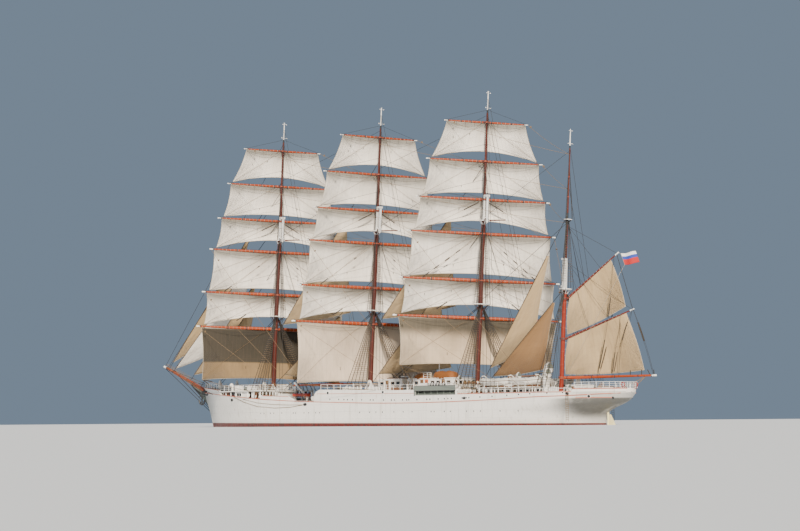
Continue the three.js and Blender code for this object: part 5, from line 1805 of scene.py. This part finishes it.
def bridge_house():
    """Navigating house over the galleries, its wings, covered gear and signal locker"""
    form = Form()
    low, half = 6.47, 3.3
    for x in (7.7, 11.5, 12.8, 15.2):
        window(form, x, half, 7.35)
    for x, paint in ((9.0, BROWN), (10.1, ORANGE), (14.0, BROWN)):
        door(form, x, half, low, paint=paint)
    # Wings, lockers and the galleries' plates as (x from, x to, y from, y to, low, high, paint)
    for row in ((12.6, 17.4, 3.4, 6.4, 6.42, 6.5, WHITE), (11.0, 12.2, 5.1, 6.1, 6.35, 7.5, WHITE),
                (12.9, 16.8, 5.95, 6.45, 6.4, 7.45, BLACK), (10.95, 19.95, 6.88, 6.92, 5.36, 5.62, GREY),
                (10.7, 20.1, 7.31, 7.37, 6.14, 6.98, GREY), (10.6, 10.85, 7.22, 7.38, 5.3, 7.0, GREY)):
        form.box(*row)
    for x in np.arange(13.2, 16.8, 0.65):
        form.tube([(x, 6.5, 6.5), (x + 0.35, 6.5, 7.6)], 0.06, 6)
    for x in np.arange(11.4, 20.0, 1.45):
        form.post(x, 7.02, 5.34, 6.12, 0.05, GREY)
    form.tube([(10.7, 7.34, 7.0), (20.1, 7.34, 7.0)], 0.05, 8, BLACK)
    form.tube([(10.7, 7.36, 6.12), (20.1, 7.36, 6.12)], 0.05, 8, BLACK)
    form.tube([(10.95, 7.02, 5.72), (19.95, 7.02, 5.72)], 0.035, 6, GREY)
    for k in range(3):
        form.tube([(7.3 + 0.05 * k, 3.38, 7.25 + 0.1 * k), (7.3, 3.42, 7.25 + 0.1 * k)], 0.06, 8, BRASS)
    ladder(form, 2.4, (6.6, 8.4), (5.6, 6.4))
    cowl_vent(form, 16.9, 2.6, low, 1.7, 0.32, AFT)
    form.mirror()
    form.box(6.9, 24.1, -half, half, 6.353, low, GREY)
    house(form, 6.9, 16.2, half, low - 0.02, 8.35, 0.1)
    for y in (-2.2, -1.1, 0, 1.1, 2.2):
        for x, way in ((6.9, FORWARD), (16.2, AFT)):
            form.box(x, x + way * 0.03, y - 0.41, y + 0.41, 7.29, 8.01, BROWN)
            form.box(x, x + way * 0.048, y - 0.35, y + 0.35, 7.35, 7.95, PANE)
    covered_gear(form, 6.95, 9.5, 9.3)
    covered_gear(form, 11.3, 16.0, 9.6)
    form.box(9.7, 10.8, -1.2, 1.2, 8.4, 9.1)
    form.lathe((10.2, -2.3, 8.4), [(0.3, 0), (0.26, 0.5), (0.3, 0.9), (0.2, 1.05), (0.08, 1.2)], BRASS, 16)
    form.tube([(10.25, 0, 9.0), (10.3, 0, 12.2)], [0.08, 0.05], 10)
    form.tube([(10.3, -0.9, 11.2), (10.3, 0.9, 11.2)], 0.05)
    form.box(9.9, 10.7, -0.75, 0.75, 11.6, 11.75)
    deck_piece(form, "bridge_house", 0.02)
    make_rails("bridge_house_rails", [([(9.4, 3.35, 8.45), (11.2, 3.35, 8.45)], 0.95, 3, 0.9),
                                      ([(12.6, 3.5, 6.5), (12.6, 6.4, 6.5)], 1.0, 3, 1.2),
                                      ([(17.4, 6.4, 6.5), (17.4, 3.5, 6.5)], 1.0, 3, 1.2)])


def lifeboat(form, x, y, z):
    """Clinker boat with keel, gunwale and a ridged cover"""
    reach, half, steps = 3.3, 1.12, 16

    def frame_at(s):
        return x + s * reach, half * max(0.05, 1 - abs(s) ** 2.7), z + 0.22 * s * s

    hull_rings, cover, gunwale = [], [], []
    for k in range(steps + 1):
        px, wide, base = frame_at(2 * k / steps - 1)
        gunwale.append((px, wide * 1.03, base + 0.42))
        ring = []
        for j in range(15):
            t = pi * j / 14
            plank = 1 + 0.018 * ((j * 2) % 3)
            deep = 0.95 * (0.55 + 0.45 * wide / half)
            ring.append((px, y + wide * cos(t) * plank, base + 0.5 - deep * sin(t) * plank))
        hull_rings.append(ring)
        px, wide, base = frame_at(1.97 * k / steps - 0.985)
        slump = 0.05 * sin(k * 2.1)
        cover.append([(px, y + wide * c * 1.03, base + h) for c, h in
                      ((-1, 0.36), (-1, 0.53), (-0.5, 0.72 + slump * 0.5), (0, 0.95 + slump),
                       (0.5, 0.72 + slump * 0.5), (1, 0.53), (1, 0.36))])
    form.loft(hull_rings)
    form.loft(cover, BOAT_COVER)
    for side in (-1, 1):
        form.tube([(px, y + side * wide, high) for px, wide, high in gunwale], 0.05, 6, BROWN)
    form.tube([(x - 2.772, y, z - 0.42), (x + 2.772, y, z - 0.42)], 0.06, 8, BROWN)


def davit(form, x, y, z):
    """Curved boat davit with its block"""
    bend = [(1.6, 0, 0.14), (1.55, 1.2, 0.13), (1.2, 1.75, 0.12), (0.5, 2.05, 0.1), (-0.1, 1.95, 0.08)]
    form.tube([(x, y - inboard, z + rise) for inboard, rise, _ in bend], [thick for *_, thick in bend], 12)
    form.post(x, y + 0.1, z + 1.2, z + 1.95, 0.035, BLACK, 6)
    form.block(x, y + 0.1, 0.09, 0.07, z + 1.55, z + 1.8, BROWN)


def boat_deck():
    """House aft of the mizzen mast with four boats in davits, vents and raft canisters on its roof"""
    form = Form()
    low, top = 4.953, 6.47
    for k, x in enumerate(np.arange(25.2, 35.4, 1.25)):
        if k % 3 == 1:
            door(form, x, 3.4, low, 1.3)
        else:
            window(form, x, 3.4, 5.6)
    for x in np.arange(24.3, 36, 1.45):
        form.post(x, 6.15, 4.95, 6.37, 0.075, WHITE, 10)
    for middle in (27.1, 33.0):
        for end in (-1.7, 1.7):
            form.block(middle + end, 5.0, 0.12, 0.75, top - 0.02, 6.72, BROWN)
        for end in (-2.9, 2.9):
            davit(form, middle + end, 5.0, top)
    cowl_vent(form, 30.0, 2.6, top, 1.9, 0.36, AFT)
    for x in (24.9, 35.3):
        form.tube([(x, 1.45, top + 0.55), (x, 2.95, top + 0.55)], 0.38, 18)
        form.block(x, 2.2, 0.35, 0.6, top, top + 0.25, GREY)
    form.mirror()
    for middle in (27.1, 33.0):
        lifeboat(form, middle, -5.0, 7.05)
        lifeboat(form, middle, 5.0, 7.05)
    form.box(24.0, 36.0, -6.3, 6.3, 6.353, top)
    form.box(24.1, 35.9, -6.2, 6.2, top - 0.02, top + 0.03, TEAK)
    form.box(24.4, 35.6, -3.4, 3.4, low, 6.37)
    cowl_vent(form, 34.3, 0, top, 3.0, 0.62, AFT)
    house(form, 26.4, 29.0, 1.6, top, top + 1.3)
    form.box(30.7, 32.8, -1.0, 1.0, top, top + 0.5, BROWN)
    form.box(30.9, 32.6, -0.85, 0.85, top + 0.46, top + 0.6, PANE)
    form.tube([(26.0, 0, top + 1.9), (32.5, 0, top + 2.0)], [0.17, 0.12], 12, BROWN)
    for x in (26.6, 31.8):
        form.post(x, 0, top, top + 1.85, 0.09)
    pinrail(form, "mizzen", 6.45, 1.7, 1.9)
    form.box(21.6, 23.2, -1.6, 1.6, 4.95, 5.9)
    deck_piece(form, "boat_deck_and_boats", 0.012, ["deckhouses"])
    make_rails("boat_deck_rails", [([(24.1, 6.2, top), (35.9, 6.2, top)], 0.9, 2, 1.5)],
               [([(x, -6.2, top), (x, 6.2, top)], 0.9, 2, 1.5) for x in (24.1, 35.9)])


def after_decks():
    """Gear on the aft deck and the poop: steering gear, skylights, vents, rafts and winches"""
    form = Form()
    deck, poop = 4.97, 5.36
    door(form, 41.2, 1.8, deck, 1.5)
    for x, y, z in ((22.2, 6.0, deck), (37.6, 5.9, deck), (43.2, 5.2, deck), (49.1, 2.6, poop)):
        bollards(form, x, y, z)
    capstan(form, 36.9, 3.4, deck, 0.38)
    capstan(form, 48.4, 1.7, poop, 0.3)
    form.box(38.4, 40.2, 4.6, 5.4, deck, deck + 0.85)
    form.box(20.6, 22.0, 2.7, 3.7, deck, deck + 0.9, BROWN)
    form.box(47.0, 48.2, 2.15, 3.05, poop, poop + 0.8)
    cowl_vent(form, 41.4, 3.6, deck, 1.0, 0.34, AFT)
    cowl_vent(form, 37.5, 4.6, deck, 3.7, 0.55, AFT)
    ladder(form, 3.1, (44.2, 5.4), (43.5, deck), 3)
    for x in (45.0, 46.1):
        form.tube([(x, 3.5, poop + 0.55), (x, 4.7, poop + 0.55)], 0.4, 18)
        form.block(x, 4.1, 0.35, 0.5, poop, poop + 0.25, GREY)
    form.post(50.6, 1.2, poop, poop + 1.4, 0.06)
    form.mirror()
    for x in (20.9, 23.3, 38.9):
        winch(form, x, deck)
    house(form, 39.8, 42.6, 1.8, deck, 6.6)
    form.lathe((45.3, 0, poop), [(0.4, 0), (0.36, 0.1), (0.3, 0.7), (0.34, 0.95), (0.28, 1.1), (0.1, 1.25)],
               BRASS, 20)
    form.box(46.0, 47.6, -0.6, 0.6, poop, poop + 0.95)
    form.box(45.9, 47.7, -0.65, 0.65, poop + 0.93, poop + 1.02, BROWN)
    form.tube([(45.7, 0, poop + 0.85), (46.1, 0, poop + 0.85)], 0.07, 10, BRASS)
    form.box(48.6, 49.9, -1.0, 1.0, poop, poop + 0.7)
    form.box(48.7, 49.8, -0.9, 0.9, poop + 0.68, poop + 0.8, BROWN)
    deck_piece(form, "after_deck_gear")
    wheel = Lines()
    hub = Vector((45.75, 0, poop + 0.85))
    for radius, thick in ((0.72, 0.05), (0.5, 0.03)):
        wheel.loop(hub, radius, (1, 0, 0), thick, 32)
    for k in range(10):
        out = Vector((0, cos(2 * pi * k / 10), sin(2 * pi * k / 10)))
        wheel.add([hub + out * 0.05, hub + out * 0.92], 0.025)
    wheel.make("steering_wheel", "ship", BROWN_WOOD, "house_paint", 6)
    poop_stations = (44.5, 45.7, 46.9, 48.0, 49.0, 49.8, 50.5, 51.0, 51.3)
    make_rails("after_rails", [(cap_edge((20.6, 24, 28, 32, 36, 40, 44.0), side_top, 0.1), 0.5, 1, 1.5),
                               (cap_edge(poop_stations, lambda x: 6.04, 0.1), 1.0, 3, 1.2)],
               [([(51.5, -1.9, 6.04), (51.57, 0, 6.04), (51.5, 1.9, 6.04)], 1.0, 3, 1.0)])
    life_rings = Lines()
    place = side_at(51.3, side_top(51.3)) + Vector((0, 0.05, 0))
    life_rings.loop((place.x, place.y, 6.6), 0.34, (0, 1, 0), 0.09, 20)
    life_rings.mirror()
    life_rings.make("life_rings", "ship", SIGNAL_RED, "house_paint", 10)


# Hull side

UPPER_LIGHTS = [-9.83, -7.6, -6.3, -5.4, -4.2, -1.9, 0.2, 0.9, 3.4, 5.3, 6.0, 7.9, 8.9, 9.4, 11.3, 13.6,
                14.3, 16.2, 17.6, 18.4, 19.2, 21.6, 22.5, 23.1, 25.55, 28.2, 31.4, 33.9, 36.2, 39.6, 42.52]
LOWER_LIGHTS = [-28.16, -27.2, -25.3, -24.4, -22.2, -19.2, -18.6, -16.4, -15.2, -13.4, -12.38, -2.37, 0.1,
                1.6, 3.2, 5.9, 8.1, 10.2, 14.6, 15.3, 17.6, 19.0, 22.6, 24.2, 25.7, 29.87, 33.5]


def on_sides(rows):
    """Spots for fittings on both sides of the plating, from rows of (x, height, size)"""
    return [(mirrored(side_at(x, z), side), mirrored(outward_at(x, z), side), size)
            for side in (-1, 1) for x, z, size in rows]


def hull_openings():
    """Portholes with rims and glass, rope leads and freeing ports"""
    lights = [(x, smooth_row_at(SHEER, x) + 0.55, 0.85) for x in UPPER_LIGHTS]
    lights += [(x, 2.57 - 0.0015 * (x + 28), 0.7) for x in LOWER_LIGHTS]
    lights += [(x, z, 1.5) for x, z in ((-10.35, 6.12), (3.23, 6.05), (46.8, 4.75))]
    leads = ((-37.4, 5.2, 1.0), (-16.2, 4.1, 1.0), (49.9, 4.45, 0.6), (-49.3, 6.6, 0.8), (22.0, 4.75, 0.8),
             (43.3, 5.2, 0.8))
    rim = turned_fitting([(0.2, -0.05), (0.24, 0.0), (0.24, 0.035), (0.17, 0.045), (0.16, 0.03)], 16)
    fittings("porthole_rims", on_sides(lights), rim, WALL_WHITE, "house_paint")
    pane = turned_fitting([(0.17, -0.03), (0.17, 0.048), (0.02, 0.05)], 14)
    fittings("porthole_glass", on_sides(lights), pane, GLASS, "dark_fitting")
    lead = turned_fitting([(0.42, -0.05), (0.46, 0.0), (0.42, 0.09), (0.3, 0.11), (0.24, 0.02)], 20, 0.62)
    fittings("rope_leads", on_sides(leads), lead, BLACK_IRON, "dark_fitting")
    freeing = Form()
    for x in (-26.6, -24.9, -23.2, -21.5, -19.0, 23.5, 37.5, 40.5):
        z = row_at(DECK, x) + 0.25
        y = side_at(x, z).y
        freeing.box(x - 0.4, x + 0.4, y - 0.02, y + 0.03, z - 0.12, z + 0.14)
    freeing.mirror()
    freeing.make("freeing_ports", "ship", [HULL_WHITE], "hull_paint")


def hull_ropes():
    """Lines slung along the side and the pilot ladder"""
    lines = Lines()
    for path, radius in ((((-36.4, 5.76), (-33, 4.7), (-29, 3.85), (-24.1, 3.52), (-20, 3.62),
                           (-16.75, 4.0)), 0.05),
                         (((-33.4, 5.3), (-29, 4.55), (-25, 4.2), (-20.5, 4.05), (-16.75, 4.05)), 0.04)):
        lines.add([off_plating(x, z, 0.06) for x, z in path], radius)
    top = off_plating(43.3, 5.2, 0.1)
    foot = top - Vector((0, 0, 4.6))
    for shift in (-0.25, 0.25):
        lines.add([top + Vector((shift, 0, 0.5)), foot + Vector((shift, 0, 0))], 0.03)
    for k in range(1, 13):
        spot = top.lerp(foot, k / 13)
        lines.add([spot - Vector((0.27, 0, 0)), spot + Vector((0.27, 0, 0))], 0.04)
    lines.mirror()
    lines.make("side_ropes_and_ladder", "ship", HEMP, sides=6)


def flag():
    """Plain three-band ensign at the upper gaff's end"""
    corners = ((9.57, 28.67), (12.07, 28.89), (12.8, 27.0), (10.3, 26.75))
    a, b, c, d = [from_mast(*corner) for corner in corners]

    def surface(u, v):
        point = a.lerp(b, u).lerp(d.lerp(c, u), v)
        point.y += 0.22 * sin(u * 7.0 + v * 1.4) * u**0.5
        point.z -= 0.1 * sin(u * 5)
        return point

    sailcloth("ensign", surface, (30, 16), (2.55, 1.9), flag_cloth(), "spanker",
              SWUNG["jigger"])
    lines = Lines(SWUNG["jigger"])
    end = spar_ends("upper_gaff")[1]
    lines.add([end + Vector((0, 0, -0.1)), a, d, Vector((1.2, -0.3, up_mast(9.0)))], 0.02)
    lines.make("ensign_halyard", "spanker", PALE_ROPE)


# Running rigging

# How far aft of its mast a yard's brace lands on the rail, or how far below the yard on the next mast
RAIL_BRACES = {"course": 13.5, "lower_topsail": 16.0, "upper_topsail": 18.0}
MAST_BRACES = {"lower_topgallant": 5.5, "upper_topgallant": 6.5, "royal": 7.5}


def brace_end(mast, level, side):
    """Where a brace is led to: the rail abreast of the next mast, or that mast itself"""
    if level in RAIL_BRACES:
        place = min(MASTS[mast][0] + RAIL_BRACES[level], 43.0)
        return mirrored(side_at(place, side_top(place)) + Vector((0, -0.15, 0.3)), side)
    order = list(MASTS)
    behind = order[order.index(mast) + 1]
    height = min(YARDS[level][0] - MAST_BRACES[level], MASTS[behind][2] - 4)
    return on_mast(behind, height, -mast_radius(behind, height), side * 0.1)


def strung(piece):
    """Bakes a piece's placement into its mesh, leaving it on no moving body"""
    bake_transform(piece)


def braces(mast):
    """Lines that hold each yardarm, reaching from the turning yard to the ship"""
    turned = SWUNG[mast]
    for level, (z, half, ahead, *_) in YARDS.items():
        for side, word in SIDES:
            arm = turned @ Vector((-ahead, side * half * 0.985, up_mast(z) + 0.05))
            end = brace_end(mast, level, side)
            line = Lines()
            line.slack(arm, end, 0.028, 0.35, 14)
            line.loop(arm.lerp(end, 0.08), 0.14, end - arm, 0.07)
            strung(line.make(f"{mast}_{level}_{word}_brace", None, HEMP))


def leading_lines(mast):
    """Lines over the topsails with their dark chafing gear, turning with the yards"""
    stand = SWUNG[mast]
    lines = Lines(stand)
    thick = Lines(stand)
    many = mast == "mizzen"
    dashes = [(0.35, 0.42), (0.53, 0.61), (0.71, 0.8), (0.88, 0.99)] if many else [(0.32, 0.36), (0.84, 0.98)]
    for lower, upper, out, wound in (("lower_topsail", "upper_topsail", 0.72, dashes),
                                     ("upper_topsail", "lower_topgallant", 0.8, [(0.05, 0.3)]),
                                     ("course", "lower_topsail", 0.62, [(0.6, 0.8)])):
        z0, half, ahead, radius = YARDS[lower][:4]
        for side in (-1, 1):
            end = Vector((-ahead + radius + 0.1, side * half * out, up_mast(z0) + radius * 0.4))
            start = Vector((-0.1, side * 0.45, up_mast(YARDS[upper][0] - 0.3)))
            lines.add([start, end], 0.026)
            for low, high in wound:
                thick.add([start.lerp(end, share) for share in (low, (low + high) / 2, high)], 0.1)
    for number, level in enumerate(YARDS):
        surface = square_surface(mast, level)[0]
        for k, (u, v) in enumerate(((0.14, 0.42), (0.32, 0.74), (0.32, 0.3), (0.68, 0.66), (0.68, 0.35),
                                    (0.86, 0.7))):
            if (k + number) % 2:
                thick.add([surface(u, v + 0.03 * step) + Vector((0.05, 0, 0)) for step in range(3)], 0.045)
    lines.make(mast + "_topping_lines", mast + "_yards", HEMP)
    thick.make(mast + "_chafing_gear", mast + "_yards", CHAFING, sides=8)


def spanker_lines():
    """Topping lifts, peak halyards and vangs on the turning spars, and the sheet down to the deck"""
    stand = SWUNG["jigger"]
    lines = Lines(stand)
    thick = Lines(stand)
    ends = {name: spar_ends(name) for name in SPANKER_SPARS}

    def along(name, share, side=0.0, lift=0.0):
        inner, outer, _ = ends[name]
        return inner.lerp(outer, share) + Vector((0, side, lift))

    def hanging(start, end, bow, side, wound):
        """Line that bows aft and outboard, wound with chafing gear over stretches of it"""
        def at(share):
            swell = sin(pi * share)
            return start.lerp(end, share) + Vector((bow * swell, side * 0.9 * swell, 0))

        lines.add([at(k / 16) for k in range(17)], 0.028)
        for low, high in wound:
            thick.add([at(low + (high - low) * k / 6) for k in range(7)], 0.085)

    head = Vector((0.25, 0, up_mast(33.6)))
    for share in (0.35, 0.65, 0.97):
        lines.add([along("upper_gaff", share, 0), head], 0.03)
        lines.add([along("lower_gaff", share, 0), Vector((0.3, 0, up_mast(27.5)))], 0.028)
    for side in (-1, 1):
        hanging(along("upper_gaff", 0.9, side * 0.15), along("spanker_boom", 0.37, side * 0.3), 0.75, side,
                [(0.34, 0.5), (0.69, 0.93)])
        hanging(along("lower_gaff", 0.97, side * 0.12), along("spanker_boom", 0.6, side * 0.3), -0.35, side,
                [(0.19, 0.46)])
        hanging(along("lower_gaff", 0.8, side * 0.15, -2.2), along("spanker_boom", 0.53, side * 0.3), 0,
                side * 0.6, [(0.5, 0.9)])
        hanging(along("lower_gaff", 0.985, side * 0.1), along("spanker_boom", 0.97, side * 0.25), 0.2,
                side * 0.2, [(0.2, 0.48)])
        lines.add([along("lower_gaff", 0.8, side * 0.15, -2.2), along("lower_gaff", 0.8, side * 0.1)], 0.028)
        lines.add([along("upper_gaff", 0.96, side * 0.12), along("lower_gaff", 0.98, side * 0.15)], 0.028)
    for share, lean in ((0.72, 0), (0.84, 0), (0.93, -0.45), (0.975, -0.1)):
        foot = along("spanker_boom", share)
        thick.add([foot + up(0.15), foot + Vector((lean, 0, 0.95))], 0.07)
    lines.make("spanker_lifts_and_vangs", "spanker", WIRE)
    thick.make("spanker_chafing_gear", "spanker", CHAFING, sides=8)
    for side, word in SIDES:
        arm = stand @ (along("spanker_boom", 0.88) - up(0.15))
        end = Vector((49.6, side * 2.0, 5.5))
        sheet = Lines()
        for k in range(3):
            sheet.slack(arm + Vector((0, 0.06 * k - 0.06, 0)), end + Vector((0.1 * k, 0, 0)), 0.026, 0.1, 10)
        strung(sheet.make(f"spanker_{word}_sheet", None, HEMP))


def stay_lines_gear():
    """Downhauls beside the stays, and the tacks and sheets that hold the courses' clews to the rail"""
    lines = Lines()
    for name in STAYSAILS:
        tack, head, _ = stay_surface(name)[2]
        lines.slack(tack + Vector((0, -0.15, 0.1)), head + Vector((0, -0.15, -0.3)), 0.02, 0.15)
    lines.make("staysail_downhauls", "ship", HEMP)
    for mast in SQUARE_RIGGED:
        stand = SWUNG[mast]
        surface = square_surface(mast, "course")[0]
        x = MASTS[mast][0]
        for side, word in SIDES:
            clew = stand @ surface((side + 1) / 2, 1.0)
            for use, place, wound, sag in (("tack", x - 9 if side < 0 else x - 5, (0.05, 0.3), 0.1),
                                           ("sheet", x + 8, (0.03, 0.14), 0.25)):
                foot = mirrored(side_at(place, 4.8), side)
                foot.z = side_top(place)
                rope = Lines()
                rope.slack(clew, foot, 0.03, sag)
                cover = Lines()
                cover.add([clew.lerp(foot, wound[0]), clew.lerp(foot, wound[1])], 0.09)
                for piece in (rope.make(f"{mast}_{word}_{use}", None, HEMP),
                              cover.make(f"{mast}_{word}_{use}_gear", None, CHAFING, sides=8)):
                    strung(piece)


def underwater_gear():
    """Rudder and propeller keep their shapes and get their own finishes"""
    for node, finish in (("rudder", RUDDER_PAINT), ("propeller", BRONZE)):
        materials = bpy.data.objects[node].data.materials
        materials.clear()
        materials.append(finish)


for braced in SQUARE_RIGGED:
    braces(braced)
    leading_lines(braced)
spanker_lines()
stay_lines_gear()
underwater_gear()


forecastle()
bow_gear()
shelter()
well_deck()
bridge_deck()
bridge_house()
boat_deck()
after_decks()
hull_openings()
hull_ropes()
flag()


place_camera()
light_studio()
lay_floor()
